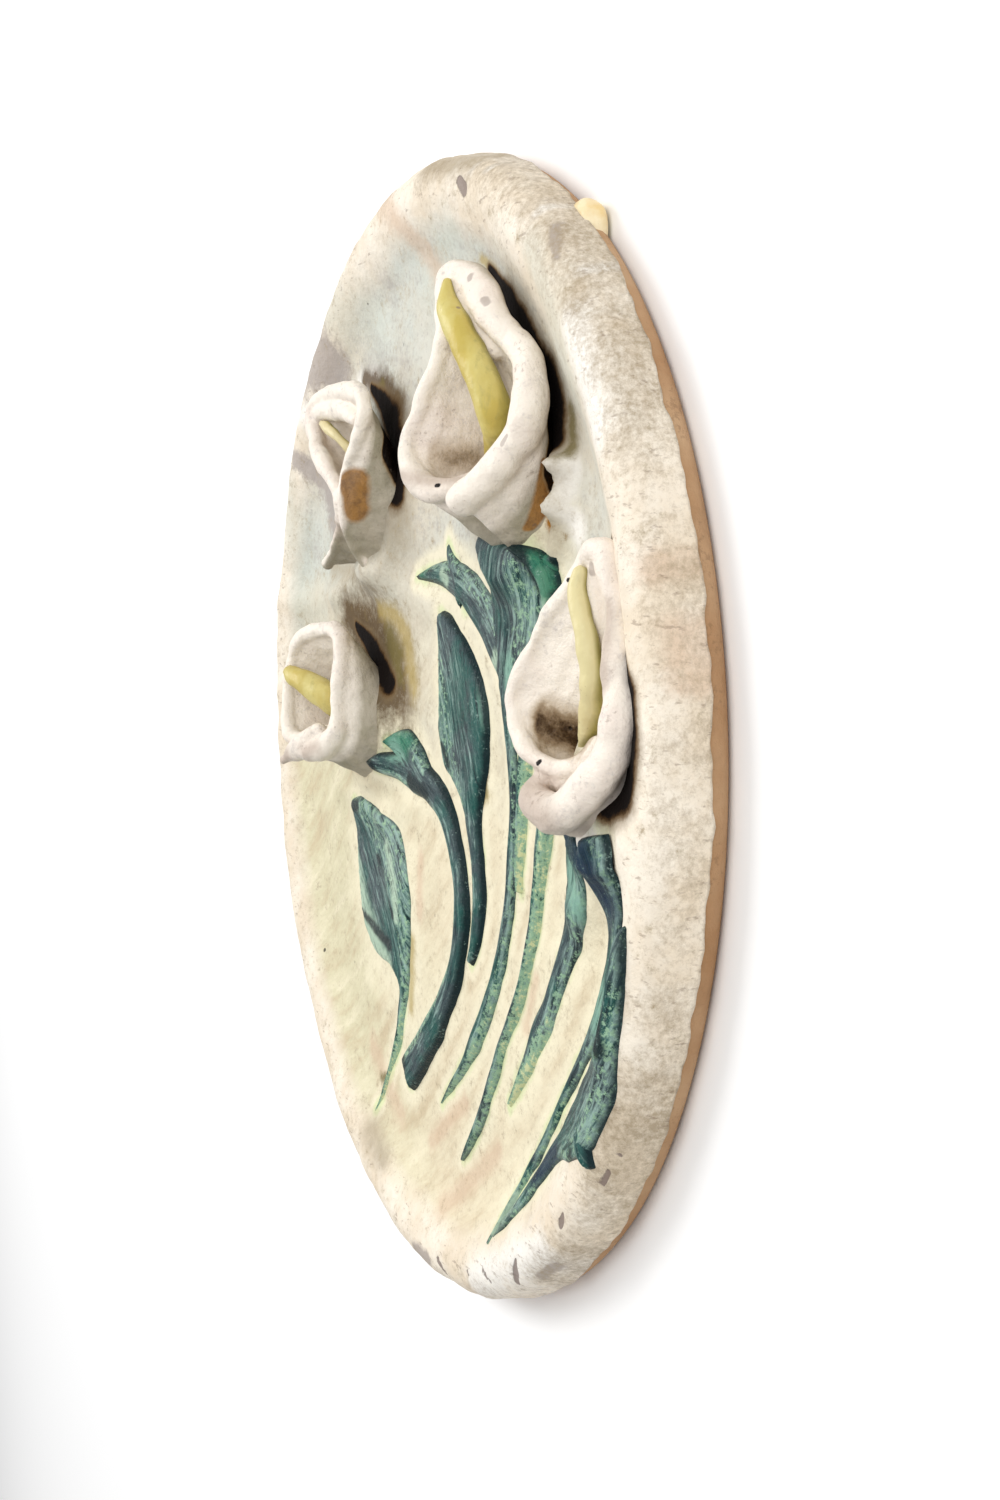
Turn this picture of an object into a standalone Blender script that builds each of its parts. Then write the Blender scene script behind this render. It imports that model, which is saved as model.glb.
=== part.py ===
"""Glazed clay wall plate, 350 mm across, with four arum lilies standing out of a bed of leaves.

The plate hangs flat on a wall. The origin is at the middle of its flat back, the front looks along -Y
and +Z is up. Lilies, leaves, stems and hanging lugs are wet clay pressed onto the plate and fired with
it, so the whole work is one solid. Lengths are metres.
"""

import math
from collections import namedtuple

import bmesh
import bpy
from mathutils import Vector

# Plate, turned about the Y axis
PLATE_RADIUS = 0.175
FOOT_INSET = 0.0035
RIM_DEPTH = 0.020
FIELD_DEPTH = 0.012
SIDE_HEIGHT = 0.011
ROLL_WIDTH = 0.009
SLOPE_WIDTH = 0.031
SLOPE_SHARPNESS = 1.4
PLATE_SEGMENTS = 88
ROLL_STEPS = 5
SLOPE_STEPS = 6

# Flowers and leaves are drawn with this many units from the middle of the plate to its edge
DRAWN_UNIT_COUNT = 175
UNIT = PLATE_RADIUS / DRAWN_UNIT_COUNT

# Leaves and stems: clay strips pressed on the face
LEAF_RELIEF = 0.0026
STEM_RELIEF = 0.0032
STRIP_SINK = 0.002
STRIP_EDGE_SHARE = 0.55
STRIP_SHOULDER_SHARE = 0.62
STRIP_STEP = 0.0085
LEAST_STRIP_STEPS = 4

# Lilies: a rolled clay wall that widens to a thick lip
LIP_ROUND = 0.0030
FOOT_SINK = 0.0030
THROAT_FLOOR = 0.0045
LILY_SIDES = 34
LIP_UNIT_COUNT = 100
LIP_SHOULDER_SHARE = 0.22
LEAST_SQUARENESS = 0.55
LEAST_THROAT = 0.25
OUTER_WALL_SHARES = (1, 0.72, 0.46, 0.25, 0.10, 0)
THROAT_SHARES = (0, 0.16, 0.36, 0.58)

# Spadices: clay fingers standing in the throats
SPADIX_SIDES = 8
SPADIX_STEPS = 9
SPADIX_END_SHARE = 0.62
SPADIX_CAP_SHARE = 0.45

# Hanging lugs on the back edge
LUG_LENGTH = 0.020
LUG_REACH = 0.0030
LUG_DEPTH = 0.0070
LUG_ROOT = 0.012
LUG_CLOCK_ANGLES = (53.5, 126.5)
LUG_SEGMENTS = 14
LUG_SECTIONS = ((0, 0.90), (0.25, 1), (0.65, 1), (1, 0.74))

GLAZE_CREAM = (0.83, 0.77, 0.64, 1)
GLAZE_PETAL = (0.85, 0.79, 0.72, 1)
GLAZE_LEAF = (0.04, 0.13, 0.12, 1)
GLAZE_SPADIX = (0.60, 0.50, 0.16, 1)
GLAZE_LUG = (0.86, 0.70, 0.42, 1)
GLAZE_ROUGHNESS = 0.32
SHARP_ANGLE = math.radians(40)

Lily = namedtuple(
    "Lily",
    "name foot foot_size middle height wall turn lean bulge lip spadix spadix_radius",
)

# Drawn units. foot: middle of the foot on the face. foot_size: its half width and half height.
# middle: middle of the mouth from the foot, as right, out from the face, up. turn: degrees that the
# mouth looks right. lean: degrees that it looks up. bulge: above 1 the wall swells out like a cup.
# lip: points clockwise from the tip, across and up, for a mouth drawn 100 high. The lip steps in
# where the inner edge tucks behind the outer flap. spadix: root, middle and end, drawn likewise, as
# across, up and out of the mouth.
LILIES = (
    Lily(
        name="lily_top", foot=(86, 70), foot_size=(23, 20), middle=(-2, 17, 28),
        height=62, wall=7.4, turn=24, lean=6, bulge=1.25,
        lip=((-12, 57), (14, 37), (38, 10), (44, -20), (24, -43), (-10, -53), (-21, -47),
             (-37, -34), (-40, -14), (-24, 11), (-21, 36)),
        spadix=((-2, -26, -20), (2, 9, -3), (-13, 42, 5)), spadix_radius=6.2,
    ),
    Lily(
        name="lily_right", foot=(140, -3), foot_size=(20, 20), middle=(-9, 11, 25),
        height=66, wall=7.2, turn=13, lean=5, bulge=1.10,
        lip=((18, 53), (31, 36), (39, 8), (34, -22), (17, -44), (-8, -55), (-24, -48), (-21, -33),
             (-35, -12), (-31, 4), (-15, 25), (4, 47)),
        spadix=((-5, -23, -18), (10, 8, -7), (11, 41, 0)), spadix_radius=5.0,
    ),
    Lily(
        name="lily_left_upper", foot=(-41, 66), foot_size=(21, 19),
        middle=(1, 17, 27), height=40, wall=5.0, turn=4, lean=8, bulge=1.00,
        lip=((-20, 58), (17, 57), (64, 44), (73, 12), (58, -23), (28, -54), (11, -44), (-19, -25),
             (-50, 2), (-66, 28), (-53, 52)),
        spadix=((-21, 0, -20), (-15, 8, -8), (-19, 17, 0)), spadix_radius=3.0,
    ),
    Lily(
        name="lily_left_lower", foot=(-55, -5), foot_size=(22, 19),
        middle=(-5, 20, 13), height=51, wall=6.6, turn=15, lean=6, bulge=1.10,
        lip=((2, 56), (32, 51), (43, 20), (43, -15), (19, -45), (-10, -53), (-40, -51), (-42, -34),
             (-48, -10), (-47, 20), (-25, 51)),
        spadix=((-1, -14, -20), (-12, 2, -5), (-30, 13, 4)), spadix_radius=5.0,
    ),
)

# The upper left lily is pinched shut below its mouth, and its edges part again down to the face.
# Each section of that fold is its height, its two foot places across, and how far it stands off.
FOLD_SECTIONS = ((77, -40, -22, 18), (68, -48, -22, 17), (58, -57, -26, 14), (49, -66, -32, 11))
FOLD_ARC_STEPS = 8
FOLD_FULLNESS = 0.8
FOLD_HOLLOW = (-46, 60, 6)

# Strips: the middle line and the half width along it, from the cut end to the tip. Drawn units.
# The leaves fork and tear, so a second strip lies over the first where one does.
STRIPS = {
    "leaf_low": (
        LEAF_RELIEF,
        ((-52, -141, 1), (-46, -131, 2), (-38, -120, 2.2), (-31, -109, 3), (-26, -98, 3.6),
         (-24, -89, 5), (-27, -80, 12), (-33, -71, 23), (-41, -62, 29), (-49, -54, 28),
         (-58, -46, 22), (-67, -38, 12), (-77, -32, 2)),
    ),
    "stem_forked": (
        STEM_RELIEF,
        ((-19, -118, 7), (-6, -107, 7), (7, -96, 6.5), (19, -84, 5.8), (29, -70, 5),
         (34, -54, 4.8), (31, -38, 4.8), (22, -25, 5), (8, -18, 6), (-8, -15, 7), (-22, -14, 6),
         (-35, -14, 4), (-47, -14, 1.5)),
    ),
    "stem_forked_lobe": (
        STEM_RELIEF, ((8, -19, 5), (-4, -13, 7), (-14, -8, 7.5), (-23, -6, 5), (-30, -6, 1.5)),
    ),
    "leaf_middle": (
        LEAF_RELIEF,
        ((40, -67, 2), (45, -59, 3.6), (47, -48, 4.3), (47, -36, 4.5), (45, -26, 5),
         (43, -17, 8), (40, -7, 16), (36, 2, 21), (32, 12, 19.5), (27, 22, 14.5), (21, 31, 8),
         (15, 38, 1.5)),
    ),
    "leaf_tall": (
        LEAF_RELIEF,
        ((12, -119, 1), (24, -109, 2), (36, -99, 3), (47, -87, 4.2), (57, -74, 4.2),
         (64, -61, 3.8), (70, -46, 3.2), (73, -30, 3.2), (74, -14, 3.2), (73, 2, 3.4),
         (72, 16, 6), (74, 29, 12.6), (79, 42, 19), (82, 58, 23)),
    ),
    "leaf_torn": (
        LEAF_RELIEF,
        ((72, 20, 5), (67, 27, 8), (58, 35, 8), (48, 41, 7.6), (36, 46, 6.7), (23, 49, 5.7),
         (10, 50, 3.8), (-4, 49, 1.5)),
    ),
    "leaf_torn_spike": (
        LEAF_RELIEF, ((36, 42, 6), (30, 49, 5), (25, 54, 3), (21, 59, 1)),
    ),
    "stem_pale": (
        STEM_RELIEF, ((78, -39, 1.5), (79, -27, 2.8), (81, -14, 3.3), (84, 2, 3.3), (87, 16, 3)),
    ),
    "stem_right": (
        STEM_RELIEF,
        ((32, -131, 1), (42, -121, 2.2), (51, -110, 2.7), (59, -98, 2.6), (67, -86, 2.6),
         (75, -74, 2.8), (83, -62, 2.8), (89, -49, 3), (93, -36, 3.4), (96, -22, 4.2),
         (100, -8, 4.2), (105, 8, 3)),
    ),
    "leaf_behind": (
        LEAF_RELIEF,
        ((71, -100, 1), (79, -92, 2), (86, -84, 2.8), (92, -75, 3), (99, -67, 3.2),
         (105, -58, 3.4), (111, -49, 4), (117, -40, 5.5), (121, -31, 9), (123, -20, 11.8),
         (125, -8, 11)),
    ),
    "blade_long": (
        LEAF_RELIEF,
        ((68, -143, 1), (75, -131, 2), (84, -119, 2.5), (94, -107, 2.5), (104, -95, 2.5),
         (114, -83, 2.8), (124, -71, 3.5), (134, -59, 5), (142, -47, 6.5), (147, -35, 8),
         (148, -23, 8), (146, -12, 6)),
    ),
    "blade_rim": (
        LEAF_RELIEF,
        ((86, -124, 1), (95, -115, 2.5), (104, -106, 3.5), (114, -98, 5), (124, -91, 8.5),
         (134, -83, 11), (142, -73, 10), (148, -63, 8), (153, -53, 5.5), (157, -42, 3.5),
         (160, -31, 1)),
    ),
    "blade_rim_fork": (
        LEAF_RELIEF, ((131, -80, 7), (136, -88, 6), (140, -96, 1.5)),
    ),
}


def clear_scene():
    for obj in list(bpy.data.objects):
        bpy.data.objects.remove(obj, do_unlink=True)


def glaze(name, colour):
    material = bpy.data.materials.new(name)
    material.use_nodes = True
    shader = material.node_tree.nodes["Principled BSDF"]
    shader.inputs["Base Color"].default_value = colour
    shader.inputs["Roughness"].default_value = GLAZE_ROUGHNESS
    shader.inputs["Metallic"].default_value = 0
    material.diffuse_color = colour
    return material


def mesh_object(name, mesh_data, material):
    """Closes the bmesh into an object with outward faces and smooth shading."""
    bmesh.ops.recalc_face_normals(mesh_data, faces=mesh_data.faces)
    mesh = bpy.data.meshes.new(name)
    mesh_data.to_mesh(mesh)
    mesh_data.free()
    mesh.shade_smooth()
    mesh.set_sharp_from_angle(angle=SHARP_ANGLE)
    mesh.materials.append(material)
    obj = bpy.data.objects.new(name, mesh)
    return obj


def loft(rings, start_pole=None, end_pole=None):
    """A closed body through rings of points. An end without a pole is closed by one flat face."""
    body = bmesh.new()
    loops = [[body.verts.new(point) for point in ring] for ring in rings]
    for low, high in zip(loops, loops[1:]):
        for index, vertex in enumerate(low):
            after = (index + 1) % len(low)
            body.faces.new((vertex, low[after], high[after], high[index]))
    for loop, pole in ((loops[0], start_pole), (loops[-1], end_pole)):
        if pole is None:
            body.faces.new(loop)
            continue
        tip = body.verts.new(pole)
        for index, vertex in enumerate(loop):
            body.faces.new((vertex, loop[(index + 1) % len(loop)], tip))
    return body


def blend_span(four, share):
    """Point between the middle two of four tuples, on a Catmull-Rom curve."""
    return tuple(
        0.5 * (2 * b + (c - a) * share + (2 * a - 5 * b + 4 * c - d) * share ** 2
               + (3 * b - a - 3 * c + d) * share ** 3)
        for a, b, c, d in zip(*four)
    )


def curve_through(points, count):
    """Smooth curve through tuples of any length, as count + 1 tuples."""
    padded = [points[0], *points, points[-1]]
    spans = len(points) - 1
    found = []
    for step in range(count + 1):
        first = min(step * spans // count, spans - 1)
        found.append(blend_span(padded[first:first + 4], step * spans / count - first))
    return found


def face_depth(radius):
    """How far the glazed face stands off the wall at this distance from the middle."""
    crest = PLATE_RADIUS - ROLL_WIDTH
    share = (radius - (crest - SLOPE_WIDTH)) / SLOPE_WIDTH
    if share <= 0:
        return FIELD_DEPTH
    if share < 1:
        rise = 0.5 - 0.5 * math.cos(math.pi * share ** SLOPE_SHARPNESS)
        return FIELD_DEPTH + (RIM_DEPTH - FIELD_DEPTH) * rise
    over = min((radius - crest) / ROLL_WIDTH, 1)
    return SIDE_HEIGHT + (RIM_DEPTH - SIDE_HEIGHT) * math.sqrt(1 - over ** 2)


def on_face(x, z, above=0.0):
    """Point over the face of the plate at x, z, given in metres."""
    return Vector((x, -face_depth(math.hypot(x, z)) - above, z))


def plate_profile():
    """Radius and depth from the edge of the flat back, over the rolled rim, to the flat field."""
    crest = PLATE_RADIUS - ROLL_WIDTH
    field = crest - SLOPE_WIDTH
    points = [(PLATE_RADIUS - FOOT_INSET, 0)]
    for step in range(ROLL_STEPS):
        angle = math.radians(90) * step / ROLL_STEPS
        points.append((crest + ROLL_WIDTH * math.cos(angle),
                       SIDE_HEIGHT + (RIM_DEPTH - SIDE_HEIGHT) * math.sin(angle)))
    for step in range(SLOPE_STEPS + 1):
        radius = crest - SLOPE_WIDTH * step / SLOPE_STEPS
        points.append((radius, face_depth(radius)))
    points.append((field / 2, FIELD_DEPTH))
    return points


def plate_body(material):
    rings = []
    for radius, depth in plate_profile():
        turn = [math.tau * step / PLATE_SEGMENTS for step in range(PLATE_SEGMENTS)]
        rings.append([(radius * math.cos(angle), -depth, radius * math.sin(angle))
                      for angle in turn])
    return mesh_object("wall_plate", loft(rings, end_pole=(0, -FIELD_DEPTH, 0)), material)


def strip_body(name, material):
    """A leaf or stem: a low ridge that follows its spine over the face of the plate."""
    relief, drawn = STRIPS[name]
    spine = [tuple(value * UNIT for value in point) for point in drawn]
    length = sum(math.dist(a[:2], b[:2]) for a, b in zip(spine, spine[1:]))
    count = max(LEAST_STRIP_STEPS, round(length / STRIP_STEP))
    path = curve_through(spine, count)
    edge = relief * STRIP_EDGE_SHARE
    section = ((1, -STRIP_SINK), (1, edge), (STRIP_SHOULDER_SHARE, relief),
               (-STRIP_SHOULDER_SHARE, relief), (-1, edge), (-1, -STRIP_SINK))
    rings = []
    for index, (x, z, half) in enumerate(path):
        before = path[max(index - 1, 0)]
        after = path[min(index + 1, count)]
        run = Vector((after[0] - before[0], after[1] - before[1])).normalized()
        rings.append([on_face(x - run.y * half * across, z + run.x * half * across, above)
                      for across, above in section])
    return mesh_object(name, loft(rings), material)


def mouth_frame(lily):
    """Middle of the mouth and its three directions: across to the right, up to the tip, and out."""
    foot_x, foot_z = (value * UNIT for value in lily.foot)
    foot = on_face(foot_x, foot_z)
    right, out, up = (value * UNIT for value in lily.middle)
    turn = math.radians(lily.turn)
    lean = math.radians(lily.lean)
    middle = foot + Vector((right, -out, up))
    across = Vector((math.cos(turn), math.sin(turn), 0))
    facing = Vector((math.sin(turn) * math.cos(lean), -math.cos(turn) * math.cos(lean),
                     math.sin(lean)))
    upward = Vector((-math.sin(turn) * math.sin(lean), math.cos(turn) * math.sin(lean),
                     math.cos(lean)))
    return foot, middle, across, upward, facing


def closed_curve(points, count):
    """Catmull-Rom curve round a closed list of points, as count places."""
    wrapped = [*points, *points[:3]]
    spans = len(points)
    found = []
    for step in range(count):
        place = step * spans / count
        first = int(place)
        found.append(blend_span(wrapped[first:first + 4], place - first))
    return found


def lip_ring(lily, inset):
    """Across and up round the lip, moved in from its outline towards the middle of the mouth."""
    drawn = closed_curve(lily.lip, LILY_SIDES)
    scale = lily.height * UNIT / LIP_UNIT_COUNT
    ring = []
    for index, place in enumerate(drawn):
        run = (Vector(drawn[(index + 1) % LILY_SIDES]) - Vector(drawn[index - 1])).normalized()
        point = Vector(place) * scale
        squareness = max(Vector((-run.y, run.x)).dot(point.normalized()), LEAST_SQUARENESS)
        ring.append(point * max(1 - inset / squareness / point.length, LEAST_THROAT))
    return ring


def lily_ring(lily, share, inset, out=0.0):
    """One ring of the wall: share 0 is the lip and share 1 is the foot, on the face."""
    foot, middle, across, upward, facing = mouth_frame(lily)
    blend = share ** lily.bulge
    half_width, half_height = (size * UNIT - inset for size in lily.foot_size)
    centre = middle.lerp(foot + Vector((0, FOOT_SINK, 0)), share)
    ring = []
    for side, up in lip_ring(lily, inset):
        angle = math.atan2(side, up)
        at_mouth = across * side + upward * up
        at_foot = Vector((half_width * math.sin(angle), 0, half_height * math.cos(angle)))
        ring.append(centre + at_mouth * (1 - blend) + at_foot * blend + facing * out)
    return ring


def lily_body(lily, material):
    """The spathe: outer wall up from the foot, over the rounded lip, and down into the throat."""
    foot, middle, _, _, _ = mouth_frame(lily)
    wall = lily.wall * UNIT
    rings = [lily_ring(lily, share, 0) for share in OUTER_WALL_SHARES]
    rings.append(lily_ring(lily, 0, wall * LIP_SHOULDER_SHARE, LIP_ROUND))
    rings.append(lily_ring(lily, 0, wall * (1 - LIP_SHOULDER_SHARE), LIP_ROUND))
    rings += [lily_ring(lily, share, wall) for share in THROAT_SHARES]
    floor = foot + (middle - foot).normalized() * THROAT_FLOOR
    return mesh_object(lily.name, loft(rings, end_pole=floor), material)


def spadix_body(lily, material):
    """A tapered finger of clay that rises from the throat's floor and bows out towards the tip."""
    foot, middle, across, upward, facing = mouth_frame(lily)
    scale = lily.height * UNIT / LIP_UNIT_COUNT
    drawn = [middle + (across * a + upward * b + facing * c) * scale for a, b, c in lily.spadix]
    path = [Vector(place) for place in curve_through([foot, *drawn], SPADIX_STEPS)]
    thickness = lily.spadix_radius * UNIT
    rings = []
    for step, centre in enumerate(path):
        along = (path[min(step + 1, SPADIX_STEPS)] - path[max(step - 1, 0)]).normalized()
        side = along.cross(facing).normalized()
        front = side.cross(along)
        radius = thickness * (1 - (1 - SPADIX_END_SHARE) * step / SPADIX_STEPS)
        turn = [math.tau * index / SPADIX_SIDES for index in range(SPADIX_SIDES)]
        rings.append([centre + (side * math.cos(angle) + front * math.sin(angle)) * radius
                      for angle in turn])
    cap = path[-1] + (path[-1] - path[-2]).normalized() * thickness * SPADIX_CAP_SHARE
    return mesh_object(lily.name.replace("lily", "spadix"), loft(rings, end_pole=cap), material)


def fold_body(material):
    """The pinched lower edges of the upper left lily, with a hollow under them."""
    rings = []
    for height, left, right, out in FOLD_SECTIONS:
        half = (right - left) / 2 * UNIT
        z = height * UNIT
        arc = [on_face((left + right) / 2 * UNIT - half * math.cos(angle), z,
                       out * UNIT * math.sin(angle) ** FOLD_FULLNESS)
               for angle in (math.pi * step / FOLD_ARC_STEPS for step in range(1, FOLD_ARC_STEPS))]
        ends = [on_face(left * UNIT, z, -STRIP_SINK), on_face(right * UNIT, z, -STRIP_SINK)]
        rings.append([ends[0], *arc, ends[1]])
    hollow_x, hollow_z, hollow_out = (value * UNIT for value in FOLD_HOLLOW)
    hollow = on_face(hollow_x, hollow_z, hollow_out)
    return mesh_object("lily_left_upper_fold", loft(rings, end_pole=hollow), material)


def lug_body(name, clock_angle, material):
    """A plump clay ear at the back edge, for the hanging wire to be wound round."""
    outward = Vector((math.cos(math.radians(clock_angle)), 0, math.sin(math.radians(clock_angle))))
    along = Vector((-outward.z, 0, outward.x))
    centre = outward * (PLATE_RADIUS - LUG_ROOT)
    reach = LUG_ROOT + LUG_REACH
    rings = []
    for depth, size in LUG_SECTIONS:
        turn = [math.tau * index / LUG_SEGMENTS for index in range(LUG_SEGMENTS)]
        rings.append([
            centre + outward * reach * size * math.cos(angle)
            + along * LUG_LENGTH / 2 * size * math.sin(angle) + Vector((0, -LUG_DEPTH * depth, 0))
            for angle in turn
        ])
    return mesh_object(name, loft(rings), material)


def add_to_plate(plate, helpers):
    """Presses the helper bodies onto the plate: one union, so that the work is one solid."""
    scene_collection = bpy.context.scene.collection
    pressed = bpy.data.collections.new("pressed_on")
    scene_collection.children.link(pressed)
    for helper in helpers:
        helper.hide_render = True
        helper.display_type = "WIRE"
        pressed.objects.link(helper)
    union = plate.modifiers.new("press clay on", "BOOLEAN")
    union.operation = "UNION"
    union.solver = "EXACT"
    union.operand_type = "COLLECTION"
    union.collection = pressed
    union.material_mode = "TRANSFER"


clear_scene()
cream = glaze("cream_glaze", GLAZE_CREAM)
petal = glaze("petal_glaze", GLAZE_PETAL)
leaf = glaze("leaf_glaze", GLAZE_LEAF)
yellow = glaze("spadix_glaze", GLAZE_SPADIX)
butter = glaze("lug_glaze", GLAZE_LUG)

wall_plate = plate_body(cream)
bpy.context.scene.collection.objects.link(wall_plate)
pieces = [strip_body(name, leaf) for name in STRIPS]
pieces += [lily_body(lily, petal) for lily in LILIES]
pieces += [spadix_body(lily, yellow) for lily in LILIES]
pieces.append(fold_body(petal))
pieces += [lug_body(f"lug_{index + 1}", angle, butter)
           for index, angle in enumerate(LUG_CLOCK_ANGLES)]
add_to_plate(wall_plate, pieces)
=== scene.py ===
"""Looks of a glazed clay wall plate with four arum lilies standing out of a bed of leaves."""

import math

import bpy
import numpy as np
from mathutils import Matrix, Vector, noise
from mathutils.bvhtree import BVHTree


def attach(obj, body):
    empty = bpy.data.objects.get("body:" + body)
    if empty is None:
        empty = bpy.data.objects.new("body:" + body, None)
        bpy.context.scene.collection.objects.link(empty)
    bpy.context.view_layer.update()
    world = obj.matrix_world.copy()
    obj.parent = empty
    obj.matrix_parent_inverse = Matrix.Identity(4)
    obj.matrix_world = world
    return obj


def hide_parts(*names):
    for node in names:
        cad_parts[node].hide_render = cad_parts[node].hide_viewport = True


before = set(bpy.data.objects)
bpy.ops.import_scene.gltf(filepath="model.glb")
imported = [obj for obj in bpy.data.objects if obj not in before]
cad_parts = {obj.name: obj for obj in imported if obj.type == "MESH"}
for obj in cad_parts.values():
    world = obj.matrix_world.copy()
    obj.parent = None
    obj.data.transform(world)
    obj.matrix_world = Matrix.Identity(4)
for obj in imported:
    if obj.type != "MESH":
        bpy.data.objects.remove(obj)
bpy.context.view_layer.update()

# The plate itself: a dish of buff clay pressed in a mould, 350 mm across, with a thick rolled rim.
# Slip and glaze were poured and brushed over its front and stop in a ragged line near the wall.
# Lengths are metres, and places that are drawn by hand on the face are mm.
MM = 0.001
PLATE_RADIUS = 0.175
RIM_DEPTH = 0.020
FIELD_DEPTH = 0.012
SIDE_HEIGHT = 0.011
ROLL_WIDTH = 0.009
SLOPE_WIDTH = 0.031
SLOPE_SHARPNESS = 1.4
GLAZE_STOP = 0.0058
GLAZE_STOP_WANDER = 0.0009
GLAZE_EDGE = 0.0012
RIM_LINE_RADIUS = 0.17
RIM_WANDER = 0.0006
SIDE_LEAN = 0.0009
SIDE_WANDER = 0.0008
RIM_START = 0.148
RIM_FADE = 0.014
OUTER_START = 0.163
OUTER_FADE = 0.012
FACE_SEGMENTS = 640
SEAM_REACH = 0.00001
SIDE_RINGS = 6
ROLL_RINGS = 12
SLOPE_RINGS = 26
FIELD_RINGS = 92
# How a drawn stroke fades to a half at its edge, how a mound falls off, and how calm the rim is
STROKE_FADE = 0.7
MOUND_FALL = 1.3
RIM_CALM = 0.5
# What the mould's wear and the hands left: height, length and seed of the waves, and of the lumps
FACE_WAVES = ((0.0007, 0.085, 1), (0.0003, 0.031, 2))
FACE_LUMPS = ((0.0005, 0.013, 31), (0.0002, 0.005, 32))

# Feet of the lilies, where their clay is smoothed out onto the face: x, z, half width, half height,
# height of the mound and how far it runs out, in mm.
MOUNDS = (
    (79, 67, 15, 19, 6.0, 5.0),
    (134, -6, 13, 16, 5.0, 5.0),
    (147, -13, 11, 8, 4.5, 4.0),
    (-41, 66, 20, 18, 5.0, 6.0),
    (-55, -5, 22, 18, 5.0, 6.0),
)
# Soft ridges that fingers left on the face: x, z from one end to the other, height, half width, in mm.
RIDGES = (
    (-160, 38, -95, 42, 2.0, 6),
    (-95, 42, -40, 52, 2.6, 6),
    (-40, 52, 6, 40, 2.4, 7),
    (-120, 30, -70, 36, 1.2, 5),
    (-100, -30, -40, -33, 1.5, 6),
    (-40, -33, -8, -24, 1.2, 5),
    (-22, 96, -2, 62, 1.6, 8),
    (105, 79, 111, 77, 3.6, 2.4),
    (111, 77, 109, 66, 4.6, 3.0),
    (109, 66, 104, 56, 3.5, 3.4),
    (122, -36, 139, -26, 3.0, 6),
    (150, -64, 159, -36, 1.6, 4),
)
# Chips and glints along the rim, each a short stroke of places: x, z and half width in mm.
CHIP_DEPTH = 0.0006
CHIPS = (
    ((48, 161, 1.4), (53, 157, 2.2)),
    ((93, -139, 0.7), (91, -143, 1.3), (88, -148, 0.8)),
    ((124, -114, 0.6), (122, -117, 1.0), (121, -119, 0.6)),
    ((144, -96, 0.4), (141, -100, 0.6)),
    ((147, -91, 0.5), (148, -91, 0.5)),
    ((29, -164, 1.4), (33, -167, 0.9)),
    ((68, -151, 0.9), (72, -153, 0.8)),
    ((54, -157, 0.7), (56, -158, 0.7)),
)


def plate_depth(radius):
    """How far the plain front stands off the wall at this distance from the middle."""
    crest = PLATE_RADIUS - ROLL_WIDTH
    share = np.clip((radius - crest + SLOPE_WIDTH) / SLOPE_WIDTH, 0, 1)
    rise = 0.5 - 0.5 * np.cos(math.pi * share ** SLOPE_SHARPNESS)
    inside = FIELD_DEPTH + (RIM_DEPTH - FIELD_DEPTH) * rise
    over = np.clip((radius - crest) / ROLL_WIDTH, 0, 1)
    rolled = SIDE_HEIGHT + (RIM_DEPTH - SIDE_HEIGHT) * np.sqrt(1 - over ** 2)
    return np.where(radius < crest, inside, rolled)


def waves(x, z, length, seed):
    """Slow uneven waves between -1 and 1, about so long, the same on each run."""
    total = np.zeros_like(x)
    for index in range(6):
        angle = seed * 1.7 + index * 2.4
        stretch = length * (0.7 + 0.17 * index)
        along = x * math.cos(angle) + z * math.sin(angle)
        across = z * math.cos(angle) - x * math.sin(angle)
        sway = 1.3 * np.sin(across / stretch * 3 + index)
        total += np.sin(along / stretch * math.tau + sway + seed * index)
    return total / 6


def from_line(x, z, start, end):
    """How far along a line the nearest place on it is, from 0 to 1, and how far away, in mm."""
    run_x, run_z = end[0] - start[0], end[1] - start[1]
    from_x, from_z = x / MM - start[0], z / MM - start[1]
    share = np.clip((from_x * run_x + from_z * run_z) / max(run_x ** 2 + run_z ** 2, MM), 0, 1)
    return share, np.hypot(from_x - share * run_x, from_z - share * run_z)


def brushed(x, z, strokes):
    """How near each place is to brush strokes: 1 on a stroke's middle, 0.5 at its edge."""
    total = np.zeros(len(x))
    for stroke in strokes:
        for start, end in zip(stroke, stroke[1:] or stroke):
            share, away = from_line(x, z, start, end)
            half = start[2] + (end[2] - start[2]) * share
            total = np.maximum(total, np.exp(-STROKE_FADE * (away / half) ** 2))
    return total


def hand_relief(x, z):
    """What hands added to the plain face: slow waves, mounds at the lilies' feet and soft ridges."""
    relief = sum(height * waves(x, z, length, seed) for height, length, seed in FACE_WAVES)
    for centre_x, centre_z, half_x, half_z, height, reach in MOUNDS:
        away = np.hypot((x / MM - centre_x) / half_x, (z / MM - centre_z) / half_z)
        beyond = np.maximum(away - 1, 0) * min(half_x, half_z)
        relief += height * MM * np.exp(-(beyond / reach) ** MOUND_FALL)
    for from_x, from_z, to_x, to_z, height, half in RIDGES:
        away = from_line(x, z, (from_x, from_z), (to_x, to_z))[1]
        relief += height * MM * np.exp(-(away / half) ** 2)
    return relief


def face_y(x, z, above=0.0):
    """Y of the finished face over x, z."""
    x = np.asarray(x, float)
    z = np.asarray(z, float)
    return -(plate_depth(np.hypot(x, z)) + hand_relief(x, z) + above)


def start_clean():
    if bpy.context.object and bpy.context.object.mode != "OBJECT":
        bpy.ops.object.mode_set(mode="OBJECT")
    bpy.ops.object.select_all(action="DESELECT")


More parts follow.
